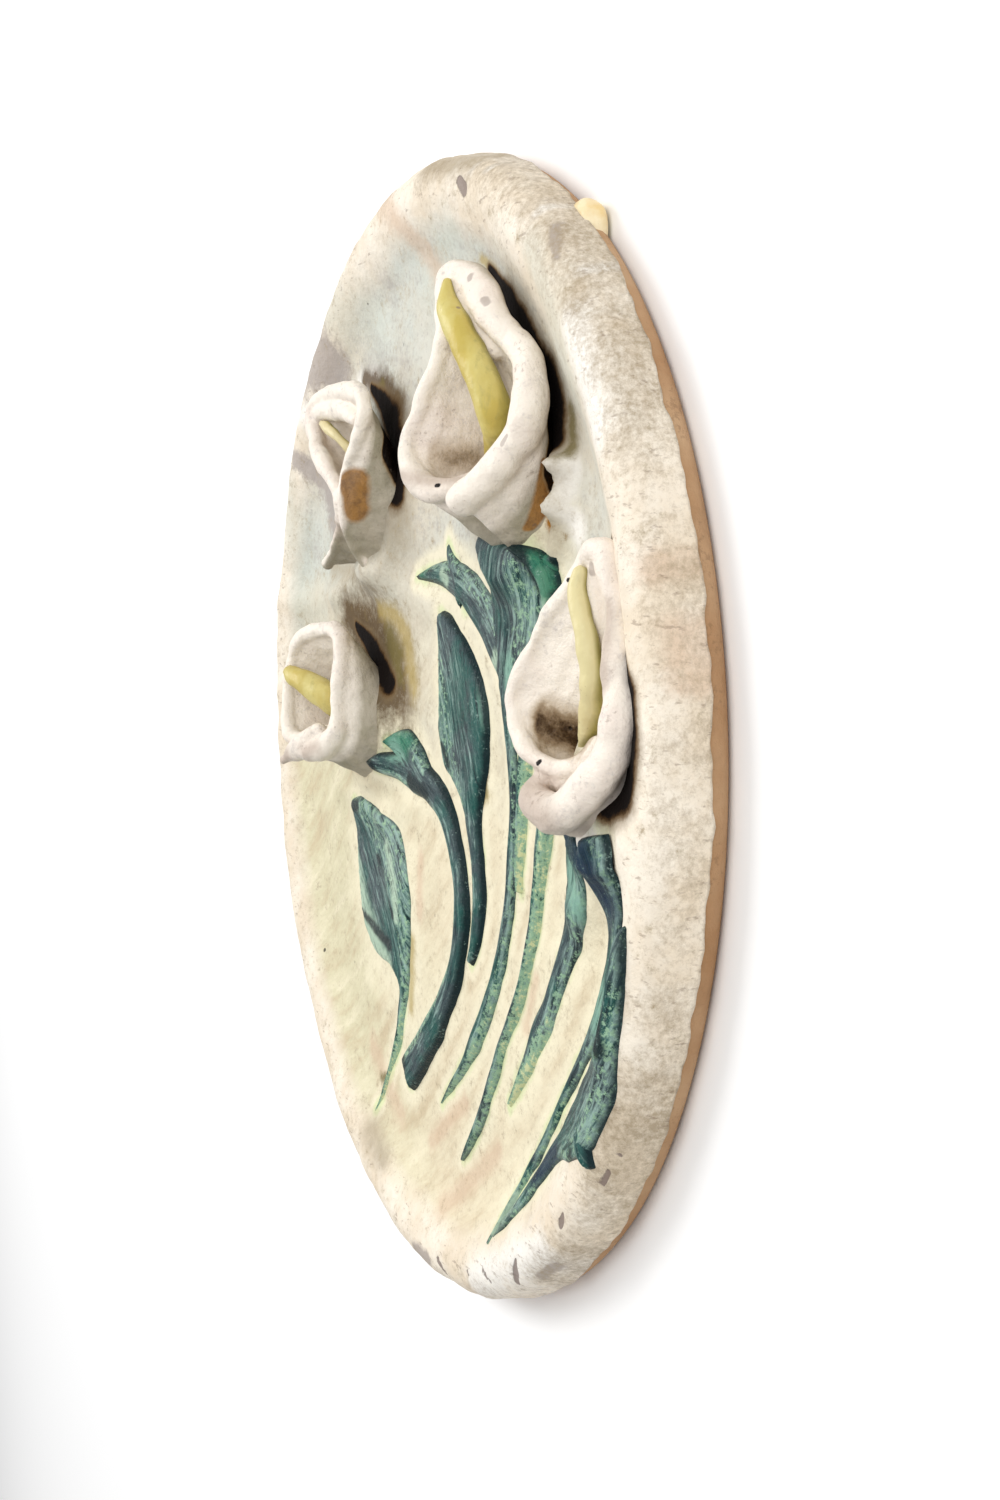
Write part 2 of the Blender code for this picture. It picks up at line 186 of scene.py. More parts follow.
def new_piece(name, shape):
    """New object with this mesh or curve, alone selected and active."""
    start_clean()
    piece = bpy.data.objects.new(name, shape)
    bpy.context.scene.collection.objects.link(piece)
    piece.select_set(True)
    bpy.context.view_layer.objects.active = piece
    return piece


def worked(piece, name, kind, **settings):
    """Works a modifier with these settings into the piece, which is the active one."""
    made = piece.modifiers.new(name, kind)
    for key, value in settings.items():
        setattr(made, key, value)
    bpy.ops.object.modifier_apply(modifier=made.name)


def places(piece):
    """The mesh's points as an array, a row each."""
    found = np.empty(len(piece.data.vertices) * 3)
    piece.data.vertices.foreach_get("co", found)
    return found.reshape(-1, 3)


def facings(piece):
    """The directions that the mesh's points face, a row each."""
    found = np.empty(len(piece.data.vertices) * 3)
    piece.data.vertices.foreach_get("normal", found)
    return found.reshape(-1, 3)


def put_places(piece, points):
    piece.data.vertices.foreach_set("co", np.asarray(points, float).ravel())
    piece.data.update()


def dented(piece, height, size, seed):
    """Small lumps and dents all over a piece."""
    points = places(piece)
    offset = Vector((seed, seed * 2, seed * 3))
    lumps = np.array([noise.noise(Vector(point) / size + offset) for point in points])
    put_places(piece, points + facings(piece) * (lumps * height)[:, None])


def set_mark(piece, name, values):
    """Keeps a number for each point of the mesh, which its material reads as a mask."""
    made = piece.data.attributes.new(name, "FLOAT", "POINT")
    made.data.foreach_set("value", np.asarray(values, np.float32))


def spun(name, profile, steps):
    """Turns a profile of radius and depth about the plate's axis."""
    points = [(radius, -depth, 0) for radius, depth in profile]
    outline = bpy.data.meshes.new(name)
    outline.from_pydata(points, [(i, i + 1) for i in range(len(points) - 1)], [])
    piece = new_piece(name, outline)
    bpy.ops.object.mode_set(mode="EDIT")
    bpy.ops.mesh.select_all(action="SELECT")
    bpy.ops.mesh.spin(steps=steps, angle=math.tau, center=(0, 0, 0), axis=(0, 1, 0))
    bpy.ops.mesh.select_all(action="SELECT")
    bpy.ops.mesh.remove_doubles(threshold=SEAM_REACH)
    bpy.ops.mesh.normals_make_consistent(inside=False)
    bpy.ops.object.mode_set(mode="OBJECT")
    bpy.ops.object.shade_smooth()
    return piece


def spread(start, end, steps):
    return [start + (end - start) * step / steps for step in range(steps)]


crest = PLATE_RADIUS - ROLL_WIDTH
field_edge = crest - SLOPE_WIDTH
face_profile = [(PLATE_RADIUS - GLAZE_EDGE, GLAZE_STOP)]
face_profile += [(PLATE_RADIUS, depth) for depth in spread(GLAZE_STOP, SIDE_HEIGHT, SIDE_RINGS)]
for step in range(ROLL_RINGS):
    angle = math.radians(90) * step / ROLL_RINGS
    face_profile.append((crest + ROLL_WIDTH * math.cos(angle),
                         SIDE_HEIGHT + (RIM_DEPTH - SIDE_HEIGHT) * math.sin(angle)))
for radius in spread(crest, field_edge, SLOPE_RINGS) + spread(field_edge, 0, FIELD_RINGS) + [0]:
    face_profile.append((radius, float(plate_depth(radius))))
plate_face = spun("plate_face", face_profile, FACE_SEGMENTS)

plain = places(plate_face)
x, depth, z = plain[:, 0], -plain[:, 1], plain[:, 2]
radius = np.hypot(x, z)
angle = np.arctan2(z, x)
front = np.clip((depth - GLAZE_STOP) / (SIDE_HEIGHT - GLAZE_STOP), 0, 1)
ragged = np.sin(angle * 11 + 3 * np.sin(angle * 3)) + 0.8 * np.sin(angle * 37)
ragged += 0.6 * np.sin(angle * 83 + 2) + 0.5 * np.sin(angle * 151 + 4)
stop = GLAZE_STOP_WANDER * ragged / 3 * (1 - front) * (depth < SIDE_HEIGHT)
rim_share = np.clip((radius - field_edge) / SLOPE_WIDTH, 0, 1)
rim_line = angle * RIM_LINE_RADIUS
rim_wander = rim_share * RIM_WANDER * (waves(rim_line, depth, 0.09, 3) - 1)
side = SIDE_LEAN + SIDE_WANDER * waves(rim_line, z * 0, 0.12, 4)
inward = 1 - front * rim_share * side / PLATE_RADIUS
calmer = np.clip((PLATE_RADIUS - radius) / ROLL_WIDTH, 0, 1) * (1 - RIM_CALM * rim_share)
lift = hand_relief(x, z) * calmer + rim_wander
lift -= CHIP_DEPTH * np.clip(brushed(x, z, CHIPS) * 2 - 0.6, 0, 1)
put_places(plate_face, np.stack([x * inward, -(depth + lift * front + stop), z * inward], 1))
for height, size, seed in FACE_LUMPS:
    dented(plate_face, height, size, seed)
set_mark(plate_face, "rim", np.clip((radius - RIM_START) / RIM_FADE, 0, 1))
set_mark(plate_face, "outer", np.clip((radius - OUTER_START) / OUTER_FADE, 0, 1))
set_mark(plate_face, "chip", brushed(x, z, CHIPS))

# How much light the old, worn glaze throws back
SHINE = 0.18


def new_material(name, roughness):
    material = bpy.data.materials.new(name)
    material.use_nodes = True
    shader = material.node_tree.nodes["Principled BSDF"]
    shader.inputs["Roughness"].default_value = roughness
    shader.inputs["Specular IOR Level"].default_value = SHINE
    return material, material.node_tree, shader


def node(tree, kind, inputs=(), **settings):
    """Adds a node with these settings, and fills its inputs by name or place with values or links."""
    made = tree.nodes.new(kind)
    for key, value in settings.items():
        setattr(made, key, value)
    for key, value in dict(inputs).items():
        if isinstance(value, bpy.types.NodeSocket):
            tree.links.new(value, made.inputs[key])
        else:
            made.inputs[key].default_value = value
    return made


def here(tree):
    """Where on the plate a point is."""
    return node(tree, "ShaderNodeTexCoord").outputs["Object"]


def mark(tree, name):
    """A mask that was kept on the mesh."""
    return node(tree, "ShaderNodeAttribute", attribute_name=name).outputs["Fac"]


def cloud(place, scale, detail=4, rough=0.55, longer=(1, 1, 1), turn=0):
    """Cloudy noise from 0 to 1, so many clouds to the metre, drawn out along axes turned on the face."""
    turned = (0, math.radians(-turn), 0)
    mapped = node(place.id_data, "ShaderNodeMapping", {"Vector": place, "Scale": longer, "Rotation": turned},
                  vector_type="TEXTURE")
    return node(place.id_data, "ShaderNodeTexNoise", {"Vector": mapped.outputs[0], "Scale": scale,
                                                      "Detail": detail, "Roughness": rough}).outputs["Fac"]


def ramp(value, low, high, to_low=0.0, to_high=1.0):
    return node(value.id_data, "ShaderNodeMapRange", {"Value": value, "From Min": low, "From Max": high,
                                                      "To Min": to_low, "To Max": to_high}).outputs[0]


def wandering(value, reach):
    """A cloud as an unevenness, from less by this reach to more by it."""
    return ramp(value, 0, 1, -reach, reach)


def calc(what, first, second):
    tree = (first if isinstance(first, bpy.types.NodeSocket) else second).id_data
    return node(tree, "ShaderNodeMath", {0: first, 1: second}, operation=what).outputs[0]


def plus(first, second):
    return calc("ADD", first, second)


def minus(first, second):
    return calc("SUBTRACT", first, second)


def times(first, second):
    return calc("MULTIPLY", first, second)


def larger(first, second):
    return calc("MAXIMUM", first, second)


def blend(share, under, over):
    """Colour over colour, by a share from 0 to 1."""
    mix = node(share.id_data, "ShaderNodeMix", {0: share}, data_type="RGBA")
    for key, value in ((6, under), (7, over)):
        if isinstance(value, bpy.types.NodeSocket):
            share.id_data.links.new(value, mix.inputs[key])
        else:
            mix.inputs[key].default_value = (*value, 1)
    return mix.outputs[2]


def coat(colour, tint, mask, low, high, most=1.0):
    """Colour with a coat of a tint, none where the mask is low and the most where it is high."""
    return blend(ramp(mask, low, high, 0, most), colour, tint)


def effect(name, inputs, outputs):
    """A node group with named sockets, given as name and kind or starting value."""
    group = bpy.data.node_groups.new(name, "ShaderNodeTree")
    for label, start in inputs:
        kind = "NodeSocketVector" if start is None else "NodeSocketFloat"
        socket = group.interface.new_socket(name=label, in_out="INPUT", socket_type=kind)
        if start is not None:
            socket.default_value = start
    for label in outputs:
        group.interface.new_socket(name=label, in_out="OUTPUT", socket_type="NodeSocketFloat")
    start = node(group, "NodeGroupInput")
    end = node(group, "NodeGroupOutput")
    return group, start.outputs, end.inputs


def use(group, **inputs):
    made = node(inputs["Place"].id_data, "ShaderNodeGroup", node_tree=group)
    for key, value in inputs.items():
        socket = made.inputs[key]
        if isinstance(value, bpy.types.NodeSocket):
            made.id_data.links.new(value, socket)
        else:
            socket.default_value = value
    return made.outputs


def finish_surface(shader, colour, height, strength, distance):
    """Gives a material its colour and the small unevenness of its surface."""
    tree = shader.id_data
    tree.links.new(colour, shader.inputs["Base Color"])
    bump = node(tree, "ShaderNodeBump", {"Height": height, "Strength": strength, "Distance": distance})
    tree.links.new(bump.outputs[0], shader.inputs["Normal"])


def fired(piece, glaze):
    """Puts a glaze on a piece. All were fired together with the plate, so all stand for the one solid."""
    piece.data.materials.append(glaze)
    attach(piece, "root")
    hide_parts("wall_plate")


# Pinholes: bubbles that burst in the glaze and left round dark holes of different sizes
pinholes, given, gives = effect("glaze pinholes", (("Place", None), ("Scale", 120.0), ("Share", 0.2),
                                                   ("Size", 0.2)), ("Mask", "Height"))
cells = node(pinholes, "ShaderNodeTexVoronoi", {"Vector": given["Place"], "Scale": given["Scale"]})
draws = node(pinholes, "ShaderNodeSeparateColor", {0: cells.outputs["Color"]}).outputs
chosen = calc("LESS_THAN", draws[0], given["Share"])
edge_of = times(given["Size"], draws[1])
hole = ramp(cells.outputs["Distance"], edge_of, times(edge_of, 0.6))
hole_mask = times(hole, chosen)
pinholes.links.new(hole_mask, gives["Mask"])
pinholes.links.new(times(hole_mask, -1.0), gives["Height"])

# Speckle: grains of iron that bled brown through the glaze, thick in some places and thin in others
speckle, given, gives = effect("iron speckle", (("Place", None), ("Scale", 500.0), ("Amount", 0.5)),
                               ("Mask",))
grains = node(speckle, "ShaderNodeTexNoise", {"Vector": given["Place"], "Scale": given["Scale"],
                                              "Detail": 3.0, "Roughness": 0.7}).outputs["Fac"]
thick = node(speckle, "ShaderNodeTexNoise", {"Vector": given["Place"], "Detail": 3.0,
                                             "Scale": times(given["Scale"], 0.14)}).outputs["Fac"]
sum_of = plus(times(grains, 0.6), times(thick, 0.4))
least = minus(0.66, times(given["Amount"], 0.16))
speck = ramp(sum_of, least, plus(least, 0.07))
speckle.links.new(speck, gives["Mask"])


def stained(colour, mask, tint, most, soft, wander):
    """Colour with a stain where a mask is over a half, with an edge so soft and uneven."""
    return coat(colour, tint, plus(mask, wander), 0.5 - soft, 0.5 + soft, most)


# Pooling and painted shade: in deep and sheltered places the glaze lies thick, pale brown at first, then
# brown, then black, and this darkening is also painted shade, black as shadow in the deepest undercuts
PLATE_POOL_AND_SHADE = (0.20, 0.14, 0.075)
POOL_AND_SHADE_BROWN = (0.115, 0.058, 0.018)
POOL_AND_SHADE_BLACK = (0.006, 0.003, 0.002)


def pooled_and_shaded(colour, place, thin, strength):
    """Colour darkened in the painted deep places and the sheltered ones: pooled glaze, and painted shade
    where shade falls.
    """
    tree = place.id_data
    wander = wandering(cloud(place, 210, 7, 0.78), 0.21)
    sheltered = times(mark(tree, "shelter_shade"), strength)
    thick = plus(larger(sheltered, mark(tree, "shade_and_pool")), wander)
    colour = coat(colour, thin, thick, 0.30, 0.62, 0.85)
    colour = coat(colour, POOL_AND_SHADE_BROWN, thick, 0.52, 0.74)
    return coat(colour, POOL_AND_SHADE_BLACK, thick, 0.66, 0.80)


# Marks on the front, each with its colour, its strength, how soft its edge is, and its brush strokes,
# which are rows of places: x, z and half width in mm. Most are stains in the glaze, but the umber one is
# painted shade round the undercut shadows beside the two left lilies, and the white one holds tiny painted
# glints on the rim as well as pale glaze.
PLATE_STAINS = {
    "mint": ((0.58, 0.61, 0.53), 0.45, 0.4, (
        ((102, 131, 5), (112, 118, 7), (124, 98, 6)), ((-100, 150, 10), (-50, 134, 12)), ((5, 140, 8),
        (35, 150, 5)), ((-150, 95, 10), (-140, 50, 10)), ((-120, 52, 5), (-60, 62, 5)))),
    # Pale glaze, and tiny painted glints as highlights on the rim
    "white": ((0.93, 0.90, 0.84), 0.85, 0.35, (
        ((122, -18, 6), (142, -15, 7)), ((107, 78, 2.4), (114, 76, 3), (111, 66, 2.5), (116, 60, 4)),
        ((-70, 116, 5), (-52, 117, 4)), ((128, 110, 5), (142, 84, 6)), ((56, 162, 1.5), (56, 163, 1.5)),
        ((65, 160, 1.2), (66, 160, 1.2)), ((100, 141, 1.6), (100, 142, 1.6)), ((124, 123, 1.6),
        (124, 124, 1.6)), ((60, -158, 6), (110, -130, 6)), ((-128, 112, 4), (-70, 106, 4)))),
    "taupe": ((0.38, 0.315, 0.215), 0.72, 0.5, (
        ((-28, 100, 10), (-14, 78, 13), (-20, 62, 12)), ((-86, 30, 7), (-84, 0, 8), (-74, -12, 7)),
        ((-80, 37, 6), (-50, 34, 10), (-24, 26, 11), (-16, 8, 9)), ((-50, -148, 6), (-34, -153, 4)),
        ((110, 84, 5), (104, 60, 5)), ((48, 66, 8), (70, 60, 6)), ((-104, 54, 5), (-66, 50, 4)),
        ((15, 172, 3), (38, 168, 4), (55, 165, 3)), ((40, 132, 5), (58, 126, 7)))),
    "lilac": ((0.36, 0.31, 0.285), 0.8, 0.22, (
        ((-138, 126, 10), (-118, 132, 14), (-100, 130, 13), (-90, 124, 10)), ((-134, 96, 4), (-112, 84, 6),
        (-102, 72, 8)), ((-179, 73, 7), (-164, 69, 6)), ((107, 137, 0.9), (112, 131, 1.4), (115, 127, 0.9)),
        ((6, -169, 2.5), (20, -167, 2.5)), ((101, -141, 0.9), (112, -133, 1.0)), ((-60, 92, 3),
        (-36, 84, 3)))),
    "peach": ((0.66, 0.47, 0.33), 0.55, 0.4, (
        ((-30, 174, 5), (-16, 166, 5), (-2, 156, 4), (10, 148, 3)), ((-7, -42, 3), (-7, -60, 3)),
        ((172, 38, 3), (174, 24, 2)), ((165, 52, 3), (166, 50, 3)), ((90, -60, 2), (82, -76, 2.5)),
        ((88, -38, 3), (87, -44, 2)), ((0, -136, 3), (34, -112, 3)), ((20, -150, 4), (62, -118, 3)),
        ((-60, -120, 5), (-30, -135, 5)), ((-5, 158, 4), (16, 138, 5)))),
    # Painted shade: brown round the black undercut shadows beside the lower left lily and along the upper
    # left one's top
    "umber": ((0.095, 0.055, 0.022), 0.9, 0.34, (
        ((-80, 35, 8), (-56, 26, 17), (-32, 14, 16)), ((-64, 118, 4), (-40, 112, 6), (-24, 104, 5)))),
    "ochre": ((0.44, 0.33, 0.11), 0.75, 0.4, (
        ((-46, 38, 3), (-30, 36, 4), (-20, 29, 5), (-16, 20, 5), (-12, 13, 4)), ((-15, -72, 3),
        (-17, -84, 3.4), (-18, -95, 2.5)), ((52, 138, 1.5), (64, 131, 2.2)), ((52, -14, 2), (47, -17, 2)))),
    "olive": ((0.17, 0.135, 0.045), 0.85, 0.35, (
        ((-38, 29, 5), (-30, 22, 6), (-26, 16, 3)), ((-51, -129, 2), (-46, -127, 2)), ((112, 90, 2.5),
        (113, 80, 2)), ((52, -4, 1.5), (50, -13, 2.4)), ((-50, 110, 2.5), (-44, 113, 2.5)))),
    "amber": ((0.36, 0.155, 0.022), 1.0, 0.25, (
        ((101, 83, 2.5), (102, 78, 3), (102, 70, 3.4), (101, 62, 1.5)),)),
}
# Deep places, where the face lies close under a lily's overhang: painted shadow, black in the middle and
# brown at the edge, where the glaze also ran together
PLATE_SHADOWS_AND_POOLS = (
    ((57, 134, 2.5), (63, 130, 3.5), (72, 123, 6), (81, 114, 7), (90, 105, 7.5), (97, 98, 9),
     (101, 91, 9), (103, 85, 6)),
    ((143, 57, 1.8), (149, 48, 1.8)),
    ((156, 29, 3), (159, 22, 5.5), (160, 10, 7), (157, 0, 8), (150, -3, 7)),
    ((-56, 114, 2), (-42, 107, 6), (-29, 98, 11), (-20, 86, 10), (-18, 76, 6)),
    ((-73, 31, 3.4), (-54, 23, 6.2), (-33, 13, 5.2)),
)
# Where brown fuzz gathers along the rolled rim
RIM_MOTTLES = (
    ((50, 166, 7), (78, 154, 9), (100, 142, 10), (120, 124, 9), (140, 102, 8), (150, 84, 6)),
    ((156, -70, 6), (148, -90, 8), (138, -106, 6)),
    ((118, -127, 5), (100, -142, 5)),
    ((20, 172, 5), (52, 164, 5)),
)
FIELD_BEIGE = (0.64, 0.585, 0.475)
FIELD_GREEN = (0.60, 0.615, 0.55)
FIELD_PALE = (0.66, 0.645, 0.57)
FIELD_LILAC = (0.41, 0.38, 0.345)
LOW_CREAM = (0.77, 0.68, 0.49)
LOW_YELLOW = (0.68, 0.63, 0.43)
LOW_TAN = (0.56, 0.44, 0.28)
RIM_CREAM = (0.80, 0.685, 0.535)
RIM_PALE = (0.90, 0.82, 0.70)
RIM_TAUPE = (0.36, 0.28, 0.18)
HALO_CREAM = (0.86, 0.79, 0.585)
HALO_GREEN = (0.66, 0.74, 0.40)
SPECK_BROWN = (0.24, 0.17, 0.12)
CHIP_GREY = (0.22, 0.165, 0.145)

cream_glaze, tree, shader = new_material("plate glaze", 0.45)
place = here(tree)
parts = node(tree, "ShaderNodeSeparateXYZ", {0: place}).outputs
slow = cloud(place, 16, 5, 0.6)
marble = cloud(place, 34, 6, 0.66, (2.2, 1, 1), -22)
upper = coat(FIELD_BEIGE, FIELD_GREEN, slow, 0.40, 0.60)
upper = coat(upper, FIELD_PALE, marble, 0.50, 0.36, 0.75)
upper = coat(upper, FIELD_LILAC, marble, 0.56, 0.70, 0.6)
grain = plus(cloud(place, 480, 5, 0.75), times(marble, 0.5))
upper = coat(upper, FIELD_LILAC, grain, 0.78, 0.92, 0.6)
brush = cloud(place, 110, 6, 0.7, (5, 1, 1), 38)
lower = coat(LOW_YELLOW, LOW_CREAM, plus(parts["X"], times(slow, 0.08)), -0.03, 0.05)
lower = coat(lower, LOW_TAN, brush, 0.48, 0.64, 0.65)
lower = coat(lower, HALO_CREAM, brush, 0.47, 0.33, 0.6)
level = plus(parts["Z"], wandering(marble, 0.05))
colour = coat(lower, upper, level, -0.02, 0.055)
halo = plus(mark(tree, "halo"), wandering(cloud(place, 150, 4), 0.2))
colour = coat(colour, HALO_CREAM, halo, 0.25, 0.6, 0.8)
colour = coat(colour, HALO_GREEN, halo, 0.74, 0.95, 0.75)
rim = plus(mark(tree, "rim"), wandering(marble, 0.35))
rim_colour = coat(RIM_CREAM, RIM_PALE, cloud(place, 40, 5, 0.65), 0.42, 0.62)
colour = coat(colour, rim_colour, rim, 0.2, 0.8, 0.92)
wander = wandering(cloud(place, 190, 8, 0.8), 0.85)
for name, (tint, most, soft, strokes) in PLATE_STAINS.items():
    set_mark(plate_face, name, brushed(x, z, strokes))
    colour = stained(colour, mark(tree, name), tint, most, soft, wander)
set_mark(plate_face, "shade_and_pool", brushed(x, z, PLATE_SHADOWS_AND_POOLS))
set_mark(plate_face, "mottle", brushed(x, z, RIM_MOTTLES))
fuzz = plus(times(cloud(place, 520, 5, 0.8), 0.65), times(cloud(place, 70, 4, 0.6), 0.35))
density = plus(times(mark(tree, "outer"), 0.09), times(mark(tree, "mottle"), 0.10))
colour = coat(colour, RIM_TAUPE, plus(fuzz, density), 0.54, 0.78, 0.85)
short = cloud(place, 700, 3, 0.6, (3, 3, 1))
specks = plus(short, ramp(mark(tree, "rim"), 0, 1, -0.06, 0.04))
colour = coat(colour, SPECK_BROWN, specks, 0.66, 0.74, 0.5)
# Painted shade and pooled glaze in the sheltered places, the deep places and the undercuts
colour = pooled_and_shaded(colour, place, PLATE_POOL_AND_SHADE, 0.43)
chips = ramp(plus(mark(tree, "chip"), times(wander, 0.3)), 0.45, 0.6)
colour = coat(colour, CHIP_GREY, chips, 0, 1, 0.85)
holes = use(pinholes, Place=place, Scale=95.0, Share=0.07, Size=0.13)
colour = coat(colour, POOL_AND_SHADE_BLACK, holes["Mask"], 0, 1, 0.85)
dark = larger(mark(tree, "umber"), larger(mark(tree, "shade_and_pool"), mark(tree, "shelter_shade")))
dull = larger(ramp(cloud(place, 60, 4), 0.3, 0.7, 0.45, 0.65), ramp(dark, 0.4, 0.7))
tree.links.new(dull, shader.inputs["Roughness"])
surface = plus(times(cloud(place, 320, 6, 0.62), 0.7), times(brush, 0.5))
surface = plus(surface, times(holes["Height"], 0.8))
surface = minus(surface, times(chips, 0.5))
finish_surface(shader, colour, surface, 0.75, 0.0010)
fired(plate_face, cream_glaze)

# The unglazed back: flat buff clay that lies on the wall, with the bare edge that shows beside it.
# It was wiped with a wet sponge, so it is smooth with fine drag marks and a little kiln dust.
BACK_RADIUS = PLATE_RADIUS - 0.0010
BACK_HEIGHT = 0.0078
BACK_STRAIGHT = 0.0050
FOOT_INSET = 0.0035
BACK_RINGS = 30
BACK_SEGMENTS = 256
back_profile = [(BACK_RADIUS, BACK_HEIGHT), (BACK_RADIUS, BACK_STRAIGHT), (BACK_RADIUS - 0.0004, 0.0025),
                (BACK_RADIUS - 0.0015, 0.0008), (PLATE_RADIUS - FOOT_INSET, 0)]
back_profile += [(radius, 0) for radius in spread(PLATE_RADIUS - FOOT_INSET, 0, BACK_RINGS)[1:]] + [(0, 0)]
plate_back = spun("plate_back", back_profile, BACK_SEGMENTS)

BARE_CLAY = (0.42, 0.235, 0.115)
BARE_CLAY_PALE = (0.55, 0.36, 0.21)
BARE_CLAY_DARK = (0.22, 0.125, 0.065)
bare_clay, tree, shader = new_material("bare clay", 0.85)
place = here(tree)
colour = coat(BARE_CLAY, BARE_CLAY_PALE, cloud(place, 22, 6, 0.65), 0.38, 0.65)
drag = cloud(place, 60, 5, 0.7, (6, 1, 1), 20)
colour = coat(colour, BARE_CLAY_DARK, drag, 0.55, 0.75, 0.35)
specks = use(speckle, Place=place, Scale=700.0, Amount=0.6)
colour = coat(colour, BARE_CLAY_DARK, specks["Mask"], 0, 1, 0.4)
surface = plus(cloud(place, 900, 4, 0.7), times(drag, 0.8))
finish_surface(shader, colour, surface, 0.5, 0.0005)
fired(plate_back, bare_clay)

# Two hanging lugs: plump ears of clay pressed on the back edge and dipped in butter-coloured glaze,
# for a wire to be wound round.
LUG_LENGTH = 0.020
LUG_REACH = 0.0030
LUG_DEPTH = 0.0070
LUG_ROOT = 0.012
LUG_ROUNDING = 0.0028
LUG_ROUND_STEPS = 6
LUG_GRAIN = 0.0005
LUG_WANDER = 0.0004
LUG_CLOCK_ANGLES = (53.5, 126.5)
LUG_SIDES = 32
LUG_BUTTER = (0.78, 0.58, 0.27)
LUG_PALE = (0.88, 0.78, 0.55)


def lug(name, clock_angle):
    start_clean()
    bpy.ops.mesh.primitive_cylinder_add(vertices=LUG_SIDES, radius=1, depth=LUG_DEPTH, end_fill_type="NGON",
                                        rotation=(math.radians(90), 0, 0), location=(0, -LUG_DEPTH / 2, 0))
    piece = bpy.context.object
    piece.name = name
    bpy.ops.object.transform_apply(location=True, rotation=True, scale=True)
    bpy.ops.object.mode_set(mode="EDIT")
    bpy.ops.mesh.select_all(action="SELECT")
    bpy.ops.transform.resize(value=(LUG_ROOT + LUG_REACH, 1, LUG_LENGTH / 2))
    bpy.ops.object.mode_set(mode="OBJECT")
    worked(piece, "rounded", "BEVEL", width=LUG_ROUNDING, segments=LUG_ROUND_STEPS)
    worked(piece, "finer", "REMESH", mode="VOXEL", voxel_size=LUG_GRAIN)
    points = places(piece)
    turn = math.radians(clock_angle)
    uneven = LUG_WANDER * waves(points[:, 1] * 3, points[:, 2] * 3, 0.02, 5)
    out = points[:, 0] + PLATE_RADIUS - LUG_ROOT + uneven
    put_places(piece, np.stack([out * math.cos(turn) - points[:, 2] * math.sin(turn), points[:, 1],
                                out * math.sin(turn) + points[:, 2] * math.cos(turn)], 1))
    bpy.ops.object.shade_smooth()
    return piece


lug_glaze, tree, shader = new_material("lug glaze", 0.38)
place = here(tree)
colour = coat(LUG_BUTTER, LUG_PALE, cloud(place, 150, 5), 0.35, 0.65)
specks = use(speckle, Place=place, Scale=700.0, Amount=0.4)
colour = coat(colour, SPECK_BROWN, specks["Mask"], 0, 1, 0.4)
finish_surface(shader, colour, cloud(place, 400, 5), 0.4, 0.0006)
for index, clock_angle in enumerate(LUG_CLOCK_ANGLES):
    fired(lug(f"hanging_lug_{index + 1}", clock_angle), lug_glaze)

# Leaves and stems: strips and flats of clay, pressed on the face with the thumb and scored with veins.
# Their glaze is copper green over slate, and it runs thin, mint and yellow-green, toward some ends.
# One edge of each strip is painted darker as shade and the other paler as painted highlight.
LEAF_RELIEF = 0.0020
STEM_RELIEF = 0.0024
CURL_RELIEF = 0.0042
STRIP_STEP = 0.0009
STRIP_ACROSS = 26
STRIP_SINK = 0.0016
STRIP_EDGE = 0.0014
STRIP_WANDER = 0.09
STRIP_WANDER_LENGTH = 0.021
LAYER_RISE = 0.04
EDGE_REACH = 0.0020
VEIN_HALF = 0.0007
VEIN_DEPTH = 0.0005
SCORE_DEPTH = 0.00028
SCORE_LENGTH = 0.018
HALO_REACH = 3.5
